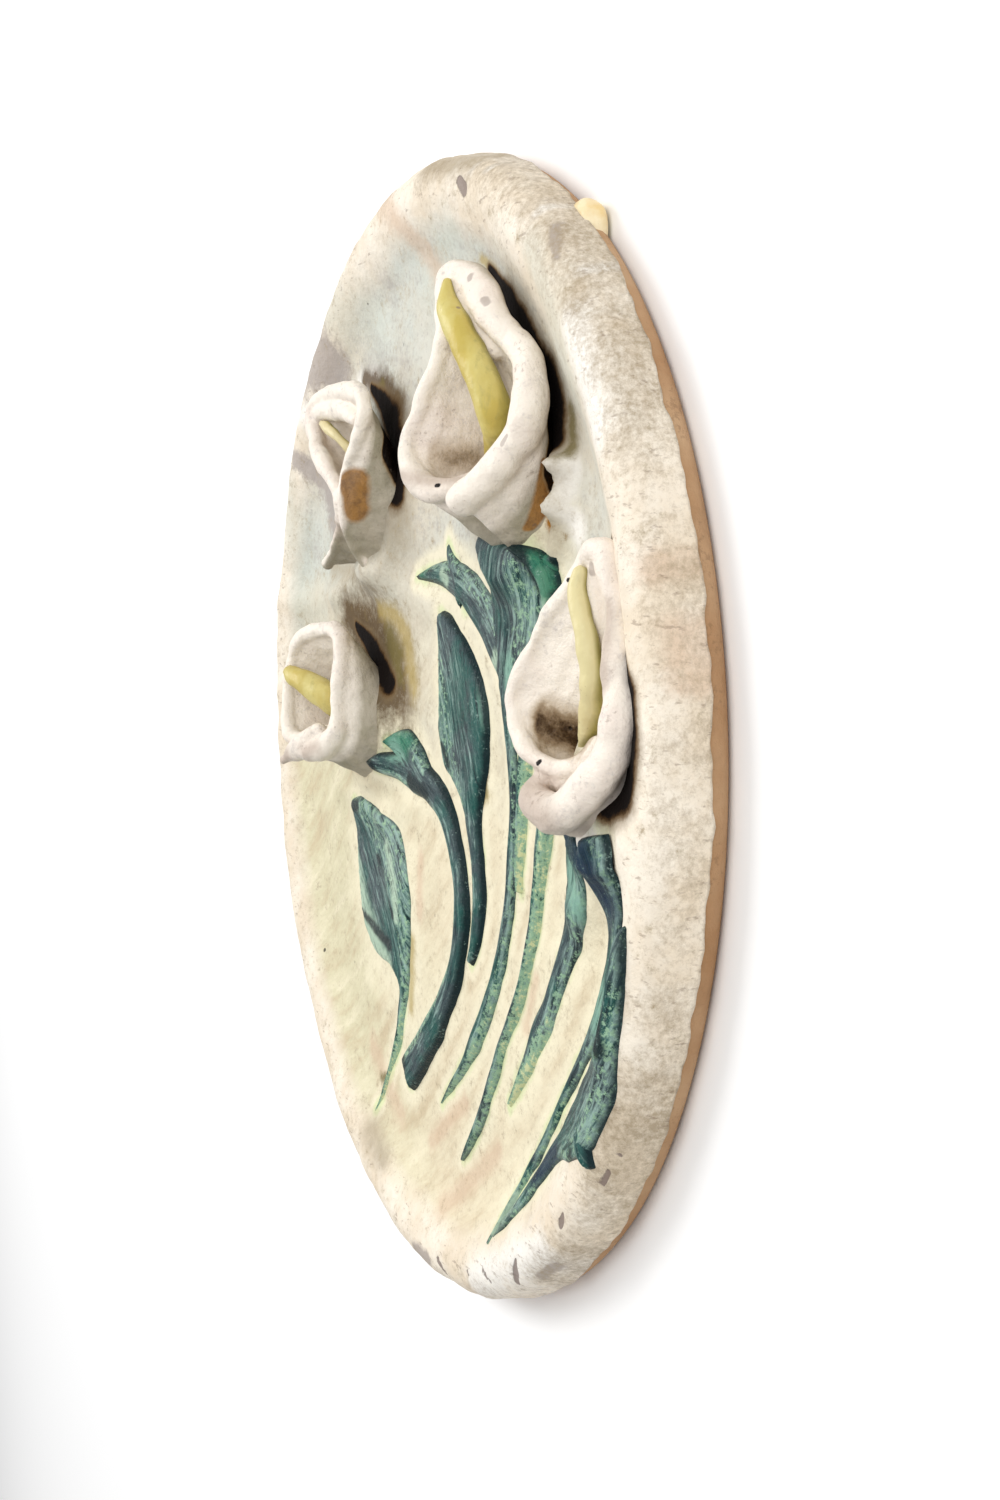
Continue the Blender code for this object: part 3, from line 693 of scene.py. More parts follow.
# Each strip: relief, shaded side (1 is left and -1 right of the way it runs; that side is painted darker as
# shade and the other paler as highlight), how thin the glaze is from its first end to its last, and its line,
# as rows of x, z and half width in mm.
STRIPS = {
    "leaf_low": (LEAF_RELIEF, 1, (0.8, 0.0), (
        (-52, -141, 1), (-46, -131, 2), (-38, -120, 2.2), (-31, -109, 3), (-26, -98, 3.6), (-24, -89, 5),
        (-27, -80, 12), (-33, -71, 23), (-41, -62, 29), (-49, -54, 28), (-58, -46, 22), (-67, -38, 12),
        (-77, -32, 2))),
    "leaf_behind": (LEAF_RELIEF, 1, (1.0, 0.0), (
        (70, -102, 1.5), (79, -92, 3.2), (86, -84, 4.2), (92, -75, 4.8), (99, -67, 5), (105, -58, 5),
        (111, -49, 5.4), (117, -40, 7), (121, -31, 9.5), (123, -20, 11.8), (125, -8, 11))),
    "blade_rim": (LEAF_RELIEF, 1, (0.0, 0.0), (
        (71, -140, 0.8), (78, -132, 2.4), (87, -123, 3.2), (96, -114, 3.6), (105, -105, 4.2),
        (114, -98, 5.4), (124, -91, 8.5), (134, -83, 11), (142, -73, 10), (148, -63, 8), (153, -53, 5.5),
        (157, -42, 3.5), (160, -31, 1))),
    "blade_rim_fork": (LEAF_RELIEF, 1, (0.0, 0.0), (
        (131, -80, 7), (136, -88, 6), (140, -96, 1.5))),
    "blade_long": (LEAF_RELIEF, 1, (0.35, 0.0), (
        (68, -143, 1), (75, -131, 2), (84, -119, 2.5), (94, -107, 2.5), (104, -95, 2.5), (114, -83, 2.8),
        (124, -71, 3.5), (134, -59, 5), (142, -47, 6.5), (147, -35, 8), (148, -23, 8), (146, -12, 6))),
    "leaf_torn": (LEAF_RELIEF, 1, (0.0, 0.0), (
        (72, 20, 5), (67, 27, 8), (58, 35, 8), (48, 41, 7.6), (36, 46, 6.7), (23, 49, 5.7), (10, 50, 3.8),
        (-4, 49, 1.5))),
    "leaf_torn_spike": (LEAF_RELIEF, 1, (0.0, 0.0), (
        (36, 42, 6), (30, 49, 5), (25, 54, 3), (21, 59, 1))),
    "leaf_tall": (LEAF_RELIEF, 1, (0.4, 0.0), (
        (12, -119, 1), (24, -109, 2), (36, -99, 3), (47, -87, 4.2), (57, -74, 4.2), (64, -61, 3.8),
        (70, -46, 3.2), (73, -30, 3.2), (74, -14, 3.2), (73, 2, 3.4), (72, 16, 6), (74, 29, 12.6),
        (79, 42, 19), (82, 58, 23))),
    "leaf_curl": (CURL_RELIEF, 1, (0.0, 0.0), (
        (104, 34, 1), (103, 40, 3), (101, 47, 4), (97, 52, 3.6), (93, 55, 2.4), (90, 57, 1))),
    "stem_pale": (STEM_RELIEF, 1, (1.0, 0.6), (
        (78, -39, 1.5), (79, -27, 2.8), (81, -14, 3.3), (84, 2, 3.3), (87, 16, 3))),
    "stem_right": (STEM_RELIEF, 1, (0.15, 0.6), (
        (32, -131, 1), (42, -121, 2.2), (51, -110, 2.7), (59, -98, 2.6), (67, -86, 2.6), (75, -74, 2.8),
        (83, -62, 2.8), (89, -49, 3), (93, -36, 3.4), (96, -22, 4.2), (100, -8, 4.2), (105, 8, 3))),
    "leaf_middle": (LEAF_RELIEF, -1, (0.3, 0.0), (
        (40, -67, 2), (45, -59, 3.6), (47, -48, 4.3), (47, -36, 4.5), (45, -26, 5), (43, -17, 8),
        (40, -7, 16), (36, 2, 21), (32, 12, 19.5), (27, 22, 14.5), (21, 31, 8), (15, 38, 1.5))),
    "stem_forked": (STEM_RELIEF, -1, (0.2, 0.0), (
        (-19, -118, 7), (-6, -107, 7), (7, -96, 6.5), (19, -84, 5.8), (29, -70, 5), (34, -54, 4.8),
        (31, -38, 4.8), (22, -25, 5), (8, -18, 6), (-8, -15, 7), (-22, -14, 6), (-35, -14, 4),
        (-47, -14, 1.5))),
    "stem_forked_lobe": (STEM_RELIEF, 1, (0.0, 0.0), (
        (8, -19, 5), (-4, -13, 7), (-14, -8, 7.5), (-23, -6, 5), (-30, -6, 1.5))),
}


def smooth_path(points, count):
    """Catmull-Rom curve through rows of numbers, as count + 1 rows."""
    rows = np.array([points[0], *points, points[-1]], float)
    place_of = np.linspace(0, len(points) - 1, count + 1)
    first = np.minimum(place_of.astype(int), len(points) - 2)
    share = (place_of - first)[:, None]
    a, b, c, d = (rows[first + step] for step in range(4))
    return 0.5 * (2 * b + (c - a) * share + (2 * a - 5 * b + 4 * c - d) * share ** 2
                  + (3 * b - a - 3 * c + d) * share ** 3)


def slab(name, along, across):
    """A flat sheet of clay to be bent: gives it with how far along and across it each point is."""
    start_clean()
    bpy.ops.mesh.primitive_grid_add(x_subdivisions=along, y_subdivisions=across, size=1)
    piece = bpy.context.object
    piece.name = name
    flat = places(piece)
    return piece, flat[:, 0] + 0.5, flat[:, 1] + 0.5


def strip(name, layer):
    relief, shaded_side, thin, drawn = STRIPS[name]
    spine = np.array(drawn, float) * MM
    length = np.hypot(*np.diff(spine[:, :2], axis=0).T).sum()
    count = round(length / STRIP_STEP)
    path = smooth_path(spine, count)
    run = np.gradient(path[:, :2], axis=0)
    run /= np.hypot(run[:, 0], run[:, 1])[:, None]
    piece, u, v = slab(name, count, STRIP_ACROSS)
    row = np.rint(u * count).astype(int)
    side = 2 * v - 1
    rounded = np.sin(side * math.pi / 2)
    seed = len(name) + layer
    wander = waves(u * length, rounded * 0 + seed * 0.1, STRIP_WANDER_LENGTH, seed)
    half = path[row, 2] * (1 + STRIP_WANDER * wander)
    x = path[row, 0] - run[row, 1] * half * rounded
    z = path[row, 1] + run[row, 0] * half * rounded
    near = np.minimum((1 - np.abs(rounded)) * half, np.minimum(u, 1 - u) * length)
    plump = 1 - np.exp(-near / STRIP_EDGE)
    vein = np.exp(-(rounded * half / VEIN_HALF) ** 2) * np.clip(half / 0.008 - 0.4, 0, 1)
    scored = SCORE_DEPTH * waves(rounded * half * 14, u * length * 0.9, SCORE_LENGTH, seed + 3)
    above = -STRIP_SINK + (relief * (1 + LAYER_RISE * layer) + STRIP_SINK) * plump
    above += (scored - VEIN_DEPTH * vein) * np.clip(plump * 2 - 1, 0, 1)
    put_places(piece, np.stack([x, face_y(x, z, above), z], 1))
    thinness = np.clip(thin[0] + (thin[1] - thin[0]) * np.clip(u * 2.5 - 0.3, 0, 1), 0, 1)
    set_mark(piece, "shaded_side", 0.5 + 0.5 * rounded * shaded_side)
    set_mark(piece, "thin", thinness)
    set_mark(piece, "edge", np.exp(-near / EDGE_REACH) * (1 - 0.75 * thinness * (rounded * shaded_side < 0.2)))
    set_mark(piece, "vein", vein)
    sheet = piece.data.uv_layers.new(name="strip")
    corners = np.empty(len(piece.data.loops), np.int32)
    piece.data.loops.foreach_get("vertex_index", corners)
    flat = np.stack([u * length, rounded * half], 1)[corners]
    sheet.data.foreach_set("uv", flat.astype(np.float32).ravel())
    if piece.data.polygons[len(piece.data.polygons) // 2].normal.y > 0:
        bpy.ops.object.mode_set(mode="EDIT")
        bpy.ops.mesh.select_all(action="SELECT")
        bpy.ops.mesh.flip_normals()
        bpy.ops.object.mode_set(mode="OBJECT")
    bpy.ops.object.shade_smooth()
    return piece


# Touches of other greens on the leaves, in the same way as the stains on the plate; the dark strokes in the
# fold beside the curl are painted shadow
LEAF_STAINS = {
    "pale": ((0.50, 0.66, 0.50), 0.9, 0.3, (
        ((-74, -52, 4), (-70, -62, 7), (-63, -74, 9), (-50, -81, 7), (-38, -85, 5)), ((-74, -50, 3),
        (-72, -56, 3)), ((-36, -42, 2), (-28, -56, 3), (-26, -66, 2)), ((60, 17, 3), (66, 27, 2)),
        ((71, -138, 1.4), (82, -125, 2.0)), ((20, 50, 2), (24, 48, 2)), ((101, 50, 1.6), (103, 42, 1.6)))),
    "emerald": ((0.012, 0.18, 0.10), 0.85, 0.35, (
        ((97, 57, 3), (104, 46, 4)), ((-28, -5, 4), (-12, -6, 4)), ((4, 52, 3), (-8, 49, 3)),
        ((148, -40, 3), (146, -46, 3)))),
    "navy": ((0.012, 0.030, 0.065), 0.9, 0.35, (
        ((128, -14, 7), (143, -18, 8), (150, -28, 6)), ((138, -30, 3), (134, -50, 3)), ((96, -113, 3),
        (112, -101, 3)), ((100, -60, 2), (98, -48, 2)))),
    "mint": ((0.27, 0.50, 0.39), 0.8, 0.4, (
        ((76, 24, 4), (80, 6, 3)), ((51, 20, 1.6), (55, 6, 1.6)), ((-22, -8, 4), (-14, -10, 2)),
        ((120, -26, 5), (128, -34, 4)), ((138, -52, 3), (134, -62, 3)))),
    # Dark glaze, and painted shadow in the fold beside the curl
    "dark": ((0.004, 0.016, 0.018), 0.95, 0.25, (
        ((-72, -70, 1.3), (-52, -74, 2.2), (-34, -77, 2.2)), ((-66, -85, 1.0), (-55, -88, 1.4)),
        ((-84, -36, 2.5), (-66, -32, 2.5)), ((21, -2, 1.0), (27, -8, 1.6)), ((90, 58, 1.4), (95, 53, 2.2),
        (98, 46, 2.2), (100, 38, 1.4)), ((98, 60, 1.4), (104, 55, 1.6), (106, 46, 1.6), (105, 36, 1.4)),
        ((-52, -14, 2.5), (-36, -15, 2.5)), ((-8, -17, 3), (8, -20, 3)), ((-24, -118, 3), (-18, -114, 4)),
        ((130, -12, 2.4), (140, -14, 2)), ((150, -40, 2.4), (152, -62, 2.4)), ((-30, -66, 1.2),
        (-46, -48, 1.2)), ((-8, 50, 2.6), (-2, 49, 2)), ((10, 56, 1.6), (18, 55, 1.6)), ((77, -15, 1.4),
        (78, -17, 1.4)))),
}
LEAF_SLATE = (0.060, 0.092, 0.100)
LEAF_TEAL = (0.022, 0.105, 0.090)
LEAF_MINT = (0.34, 0.50, 0.44)
LEAF_INK = (0.004, 0.018, 0.022)
LEAF_THIN = (0.33, 0.53, 0.35)
LEAF_LEMON = (0.74, 0.76, 0.42)

leaf_glaze, tree, shader = new_material("leaf glaze", 0.36)
sheet = node(tree, "ShaderNodeUVMap", uv_map="strip").outputs[0]
place = here(tree)
slow = cloud(place, 48, 4, 0.6)
colour = coat(LEAF_SLATE, LEAF_TEAL, slow, 0.44, 0.58)
streaks = node(tree, "ShaderNodeTexNoise", {
    "Vector": node(tree, "ShaderNodeMapping", {"Vector": sheet, "Scale": (0.11, 1, 1)}).outputs[0],
    "Scale": 560.0, "Detail": 6.0, "Roughness": 0.78, "Distortion": 0.25}).outputs["Fac"]
# Painted highlight: the mint streaks gather on the lit side of each strip
strokes_of = plus(streaks, ramp(mark(tree, "shaded_side"), 0, 1, 0.07, -0.08))
colour = coat(colour, LEAF_MINT, strokes_of, 0.50, 0.64, 0.9)
# Thin glaze, paler, shows on the lit side only: painted highlight over the glaze's own thinning
thin_mask = minus(times(mark(tree, "thin"), 1.1), ramp(mark(tree, "shaded_side"), 0.32, 0.56, 0, 1.1))
thin_mask = plus(thin_mask, wandering(cloud(place, 480, 6, 0.78), 2.6))
colour = coat(colour, LEAF_THIN, thin_mask, 0.10, 0.35, 0.9)
colour = coat(colour, LEAF_LEMON, thin_mask, 0.75, 1.1, 0.85)
wander = wandering(cloud(place, 330, 5, 0.7), 0.45)
wander = plus(wander, wandering(streaks, 0.3))
for name, (tint, most, soft, strokes) in LEAF_STAINS.items():
    colour = stained(colour, mark(tree, name), tint, most, soft, wander)
lines = ramp(streaks, 0.47, 0.38, 0, 0.9)
colour = blend(times(lines, ramp(thin_mask, 0.0, 0.4, 1, 0)), colour, LEAF_INK)
# Ink along the edges, darker on the shaded side as painted shade
dark_edge = plus(mark(tree, "edge"), times(wander, 0.5))
dark_edge = plus(dark_edge, ramp(mark(tree, "shaded_side"), 0.5, 1, -0.12, 0.18))
colour = coat(colour, LEAF_INK, dark_edge, 0.35, 0.65, 0.95)
colour = coat(colour, LEAF_INK, mark(tree, "vein"), 0, 1, 0.45)
grains = use(speckle, Place=place, Scale=950.0, Amount=0.5)
colour = coat(colour, LEAF_MINT, grains["Mask"], 0, 1, 0.5)
surface = plus(streaks, times(cloud(place, 600, 4), 0.6))
finish_surface(shader, colour, surface, 0.9, 0.0010)
for layer, name in enumerate(STRIPS):
    piece = strip(name, layer)
    points = places(piece)
    for stain, (tint, most, soft, strokes) in LEAF_STAINS.items():
        set_mark(piece, stain, brushed(points[:, 0], points[:, 2], strokes))
    fired(piece, leaf_glaze)
halo_strokes = [[(row_x, row_z, half + HALO_REACH) for row_x, row_z, half in drawn]
                for relief, shaded_side, thin, drawn in STRIPS.values()]
set_mark(plate_face, "halo", brushed(x, z, halo_strokes))

# Four arum lilies: each is a slab of clay rolled into a cone and pressed on the face by its foot, and
# its lip is rolled over with wet fingers. Cream glaze lies thick inside and is rubbed thin outside.

# Foot, foot size and middle of the mouth are mm on the plate, and turn and lean are degrees. All other
# places are hundredths of the height across, up and out from the middle, and the last number of a row
# of the lip, a roll or the spadix is its thickness in mm. The shades on the rolls, the shaded pools, pits and
# chips are strokes with a half width, and amber is painted on the outer wall by how far out and how far up.
# The shades on the rolls are painted shade on the lips' lower rolls, and the pools are painted shade in the
# hollows of the mouths, partly pooled glaze. Under says where the outer wall below the lip is painted black
# as shade, partly pooled glaze: clockwise from the top in degrees, from and to, how far below the lip it
# starts and how strong it is. Outside is how far the glaze is rubbed thin on the outer wall, and the pool
# shading how dark the painted shade in the pools is.
LILIES = {
    "lily_top": dict(
        foot=(84, 68), foot_size=(15, 20), middle=(84, 29, 98), height=62, turn=24, lean=6, wall=4.6,
        lip=((6, -30, -9, 3.6), (2, -37, -6, 4.2), (-8, -42, -2, 5.8), (-19, -42, 0, 6.3),
             (-29, -37, 0, 5.9), (-34, -29, 0, 5.1), (-35, -19, 0, 4.5), (-25, 2, 0, 4.2),
             (-20, 25, -3, 4.5), (-24, 38, -6, 5.3), (-28, 50, -10, 6.4), (-24, 55, -12, 7.4),
             (-9, 45, -9, 8.3), (5, 32, -5, 7.9), (16, 22, -5, 7.9), (27, 12, -4, 7.8), (34, 1, -1, 8.7),
             (37, -10, 1, 9.2), (36, -20, 2, 9.2), (29, -28, 2, 9.0), (22, -36, 3, 8.8), (14, -43, 4, 8.4),
             (5, -48, 4, 7.5)),
        rolls=(((-18, 47, -8, 3.7), (-12, 38, -8, 4.7), (-3, 26, -8, 4.7), (6, 16, -8, 3.6)),),
        spadix=((-1, -25, -20, 5.3), (12, -15, -6, 8.2), (11, -4, -1, 8.4), (1, 12, 0, 8.2),
                (-11, 27, -1, 7.5), (-20, 39, -3, 5.5), (-23, 48, -4, 2.4)),
        amber=(((-9, -32, 2.0), (-12, -40, 3.0), (-15, -48, 3.2), (-16, -57, 1.8)),),
        shades_on_rolls=(((-36, -36, 3), (-20, -39, 3), (-2, -38, 3)),),
        under=(-15, 100, 7, 1.0), outside=1.0,
        pool_shading=0.56, shaded_pools=(((-40, -20, 11), (-26, -26, 12), (-8, -28, 11)),),
        pits=(((-12, -41, 1.0), (-11, -41, 1.0)), ((52, -59, 1.0), (52, -60, 1.0)),
              ((31, -44, 0.9), (31, -45, 0.9))),
        chips=(((-8, 49, 1.6), (-7, 47, 1.2)), ((6, 36, 1.6), (8, 34, 1.4)),
               ((33, -24, 1.0), (31, -27, 1.2)))),
    "lily_right": dict(
        foot=(134, -4), foot_size=(13, 17), middle=(131, 23, 22), height=66, turn=13, lean=5, wall=4.6,
        lip=((13, -20, -8, 3.4), (5, -28, -6, 3.7), (-5, -30, -3, 3.9), (-15, -27, -1, 4.0),
             (-23, -21, 0, 4.0), (-29, -11, 0, 3.8), (-28, 1, 0, 3.8), (-13, 23, 0, 3.7), (-3, 32, 0, 3.9),
             (6, 42, 0, 4.7), (13, 49, 1, 5.6), (21, 49, 1, 6.5), (25, 40, 1, 6.2), (28, 28, 0, 6.2),
             (30, 17, 0, 6.7), (33, 4, 0, 7.6), (38, -6, 3, 7.6), (37, -17, 4, 7.8), (34, -27, 5, 8.3),
             (25, -36, 5, 8.9), (13, -44, 5, 9.6), (-2, -45, 3, 8.8), (-13, -41, 0, 7.0),
             (-13, -36, -3, 5.0)),
        rolls=(((15, 50, 1, 3.5), (15, 41, 1, 3.3), (16, 32, 0, 3.3), (18, 23, -1, 3.1), (20, 15, -2, 2.1)),),
        spadix=((-3, -21, -16, 4.5), (12, -8, -5, 5.5), (19, 4, 1, 5.4), (18, 16, 4, 5.1), (15, 26, 5, 4.7),
                (11, 35, 5, 4.2), (12, 41, 5, 2.8)),
        amber=(),
        shades_on_rolls=(((-14, -37, 7), (-4, -46, 8), (12, -46, 6)), ((28, 30, 3), (32, 2, 3))),
        under=(55, 165, 6, 1.0), outside=0.35,
        pool_shading=0.74,
        shaded_pools=(((-28, -4, 7), (-18, -14, 12), (2, -22, 15)), ((-14, -36, 4), (-2, -36, 5), (8, -34, 4))),
        pits=(((-10, -29, 0.9), (-9, -28, 0.9)), ((4, 39, 0.7), (5, 39, 0.7))),
        chips=(((17, 44, 1.6), (17, 42, 1.6)), ((30, -8, 1.4), (31, -10, 1.4)))),
    "lily_left_upper": dict(
        foot=(-41, 66), foot_size=(20, 18), middle=(-40, 29, 93), height=40, turn=4, lean=8, wall=4.0,
        lip=((-73, -95, -30, 3.2), (-35, -83, -22, 3.1), (-1, -66, -12, 3.3), (17, -49, -3, 3.6),
             (5, -33, 0, 4.3), (-27, -14, 0, 4.7), (-54, 5, 0, 4.8), (-69, 26, 0, 5.1), (-57, 42, 0, 5.4),
             (-10, 44, 0, 5.3), (34, 39, 0, 5.4), (54, 26, 0, 5.4), (53, 9, 0, 5.1), (45, -6, 0, 4.8),
             (31, -21, 0, 4.2), (25, -35, 0, 3.2), (23, -54, -4, 3.3), (13, -70, -14, 3.3),
             (6, -87, -28, 3.3), (8, -102, -42, 3.0)),
        rolls=(((-65, 30, -1, 4.1), (-44, 33, -3, 6.7), (1, 29, -3, 6.5), (33, 19, -2, 3.8)),),
        spadix=((0, -1, -10, 2.3), (-10, 7, -3, 2.6), (-27, 15, 0, 2.7), (-44, 21, 1, 2.0)),
        amber=(((-4, -32, 10), (-12, -54, 10)),),
        shades_on_rolls=(((-52, -84, 8), (0, -66, 6)),),
        under=(8, 80, 16, 1.0), outside=1.0,
        pool_shading=0.0, shaded_pools=(),
        pits=(((26, -64, 1.5), (28, -66, 1.5)),),
        chips=()),
    "lily_left_lower": dict(
        foot=(-55, -5), foot_size=(22, 18), middle=(-60, 32, 8), height=51, turn=15, lean=6, wall=4.4,
        lip=((14, -21, -8, 3.5), (2, -27, -6, 4.2), (-14, -32, -3, 5.0), (-28, -29, 0, 5.4),
             (-35, -14, 0, 5.0), (-37, 5, 0, 4.7), (-35, 24, 0, 4.3), (-24, 39, 0, 4.2), (1, 45, 0, 4.5),
             (22, 44, 0, 4.8), (30, 29, 0, 4.8), (31, 9, 0, 4.8), (32, -9, 0, 5.5), (32, -24, 1, 7.5),
             (21, -34, 2, 9.0), (4, -37, 3, 7.7)),
        rolls=(((11, -24, 2, 4.9), (2, -33, 4, 8.4), (-12, -40, 5, 6.4), (-28, -47, 5, 2.9)),),
        spadix=((15, -6, -12, 9.1), (9, 0, -4, 9.4), (-7, 7, 1, 8.4), (-21, 11, 4, 7.1), (-29, 14, 5, 4.6)),
        amber=(),
        shades_on_rolls=(((-32, -48, 8), (-16, -43, 6)), ((22, -34, 5), (10, -38, 5))),
        under=(20, 95, 26, 0.8), outside=1.0,
        pool_shading=0.0, shaded_pools=(),
        pits=(),
        chips=()),
}
FOOT_SINK = 3.0
FOOT_TUCK = 4.0
TUCK_FADE = 6
FOOT_THICKENING = 6.0
WALL_OF_LIP = 0.85
WALL_FLARE = 1.3
LIP_STEPS = 72
WALL_STEPS = 9
ROLL_STEPS = 90
ROUND_END = (30, 55, 72, 85)
FINGER_ROUNDING = 6
THICKEST = 0.011
CLAY_GRAIN = 0.0006
WIPES = 5
WIPED_AWAY = 0.45
# Height, size and seed of the lumps
PETAL_LUMPS = ((0.0011, 0.013, 0), (0.0005, 0.0045, 9))
UNDER_FADE = 14


def mouth_of(lily):
    """Foot, middle of the mouth, and its directions: across, up and out, in mm."""
    foot_x, foot_z = lily["foot"]
    foot = np.array((foot_x, -float(plate_depth(math.hypot(foot_x, foot_z) * MM)) / MM, foot_z))
    x, out, z = lily["middle"]
    turn, lean = math.radians(lily["turn"]), math.radians(lily["lean"])
    across = np.array((math.cos(turn), math.sin(turn), 0))
    facing = np.array((math.sin(turn) * math.cos(lean), -math.cos(turn) * math.cos(lean), math.sin(lean)))
    upward = np.array((-math.sin(turn) * math.sin(lean), math.cos(turn) * math.sin(lean), math.cos(lean)))
    return foot, np.array((x, -out, z), float), across, upward, facing


def in_mouth(lily, rows):
    """Places in metres of rows drawn across, up and out of a lily's mouth."""
    foot, middle, across, upward, facing = mouth_of(lily)
    drawn = rows[:, :3] * lily["height"] / 100
    return (middle + drawn[:, :1] * across + drawn[:, 1:2] * upward + drawn[:, 2:3] * facing) * MM


def finger(name, path, radii):
    """A finger of clay rolled to these radii along a path in metres, with round ends."""
    caps = []
    for end, before in ((0, 1), (-1, -2)):
        outward = path[end] - path[before]
        outward /= np.linalg.norm(outward)
        caps.append([(path[end] + outward * radii[end] * math.sin(turn), radii[end] * math.cos(turn))
                     for turn in np.radians(ROUND_END)])
    rows = caps[0][::-1] + list(zip(path, radii)) + caps[1]
    line = bpy.data.curves.new(name, "CURVE")
    line.dimensions = "3D"
    line.bevel_depth = 1
    line.bevel_resolution = FINGER_ROUNDING
    line.use_fill_caps = True
    spline = line.splines.new("POLY")
    spline.points.add(len(rows) - 1)
    for point, (place_of, radius) in zip(spline.points, rows):
        point.co = (*place_of, 1)
        point.radius = radius
    piece = new_piece(name, line)
    bpy.ops.object.convert(target="MESH")
    return piece


def pressed_together(pieces):
    """Joins pieces of clay into the first of them, with the joints wiped smooth."""
    start_clean()
    for piece in pieces:
        piece.select_set(True)
    bpy.context.view_layer.objects.active = pieces[0]
    if len(pieces) > 1:
        bpy.ops.object.join()
    worked(pieces[0], "pressed together", "REMESH", mode="VOXEL", voxel_size=CLAY_GRAIN)
    worked(pieces[0], "wiped", "SMOOTH", factor=0.5, iterations=WIPES)
    bpy.ops.object.shade_smooth()
    return pieces[0]


def spathe(name):
    lily = LILIES[name]
    foot, middle, across, upward, facing = mouth_of(lily)
    lip = smooth_path(lily["lip"], LIP_STEPS)
    piece, u, v = slab(name, LIP_STEPS, WALL_STEPS)
    row = np.rint(u * LIP_STEPS).astype(int)
    share = v ** WALL_FLARE
    turn = np.unwrap(np.arctan2(lip[:, 0], lip[:, 1]))[row]
    half_width, half_height = (size - lily["wall"] / 2 for size in lily["foot_size"])
    tuck = FOOT_TUCK * np.clip(1 - u * TUCK_FADE, 0, 1)
    at_foot = np.stack([foot[0] + (half_width - tuck) * np.sin(turn), foot[1] + FOOT_SINK + 0 * turn,
                        foot[2] + (half_height - tuck) * np.cos(turn)], 1) * MM
    at_lip = in_mouth(lily, lip)[row]
    put_places(piece, at_lip + (at_foot - at_lip) * share[:, None])
    wall = np.minimum(lily["wall"], lip[row, 3] * WALL_OF_LIP + FOOT_THICKENING * share)
    thick = piece.vertex_groups.new(name="thickness")
    for index, value in enumerate(wall * MM / THICKEST):
        thick.add([index], float(value), "REPLACE")
    worked(piece, "clay thickness", "SOLIDIFY", thickness=THICKEST, offset=0, vertex_group=thick.name)
    worked(piece, "softened", "SUBSURF", levels=2, render_levels=2)
    rolls = [piece]
    for drawn in (lily["lip"], *lily["rolls"]):
        roll = smooth_path(drawn, ROLL_STEPS)
        rolls.append(finger("roll", in_mouth(lily, roll), (roll[:, 3] / 2 + WIPED_AWAY) * MM))
    return pressed_together(rolls)


def glaze_marks(piece):
    """Keeps on a lily where its glaze is rubbed thin outside, where painted shade and pooled glaze darken it,
    and its pits.
    """
    lily = LILIES[piece.name]
    foot, middle, across, upward, facing = mouth_of(lily)
    points = places(piece) / MM
    normals = facings(piece)
    drawn = (points - middle) @ np.stack([across, upward, facing], 1) * 100 / lily["height"]
    share = np.clip((points[:, 1] - foot[1]) / (middle[1] - foot[1]), 0, 1)[:, None]
    spoke = (points - foot - (middle - foot) * share)[:, (0, 2)]
    spoke /= np.maximum(np.hypot(spoke[:, 0], spoke[:, 1]), MM)[:, None]
    outward = np.clip((spoke * normals[:, (0, 2)]).sum(1) * 2.5 - 0.3, 0, 1)
    clock = np.degrees(np.arctan2(spoke[:, 0], spoke[:, 1]))
    start, end, below, strength = lily["under"]
    window = np.clip((clock - start) / UNDER_FADE, 0, 1) * np.clip((end - clock) / UNDER_FADE, 0, 1)
    sunk = -drawn[:, 2]
    right, up = drawn[:, 0] * MM, drawn[:, 1] * MM
    # Painted shade, partly pooled glaze: in the pools of the mouths and on the outer wall under the lip, and
    # on the lower rolls
    pool = brushed(right, up, lily["shaded_pools"]) * np.clip(sunk / 5, 0, 1)
    under = strength * outward * window * np.clip((sunk - below) / 4, 0, 1)
    near_lip = np.clip(2 - sunk / 5, 0, 1)
    on_side = outward * np.clip(drawn[:, 0] / 10, 0, 1)
    for mark_name, values in (
            ("outside", outward * np.clip((sunk - 4) / 8, 0, 1) * lily["outside"]),
            ("shade_and_pool", np.maximum(under, pool * lily["pool_shading"] * (1 - outward))),
            ("pit", brushed(right, up, lily["pits"]) * near_lip),
            ("chip", brushed(right, up, lily["chips"]) * near_lip),
            ("roll_shade", brushed(right, up, lily["shades_on_rolls"]) * np.clip(2 - sunk / 8, 0, 1)),
            ("amber", brushed(-sunk * MM, up, lily["amber"]) * on_side)):
        set_mark(piece, mark_name, values)


PETAL_WHITE = (0.93, 0.85, 0.745)
PETAL_PINK = (0.86, 0.74, 0.655)
PETAL_GREY = (0.55, 0.50, 0.47)
PETAL_OUTSIDE = (0.42, 0.37, 0.275)
PETAL_OLIVE = (0.29, 0.26, 0.165)
PETAL_POOL_AND_SHADE = (0.40, 0.285, 0.155)
PETAL_ROLL_SHADE = (0.50, 0.40, 0.325)
PETAL_AMBER = (0.36, 0.165, 0.030)
PETAL_RUST = (0.22, 0.095, 0.015)

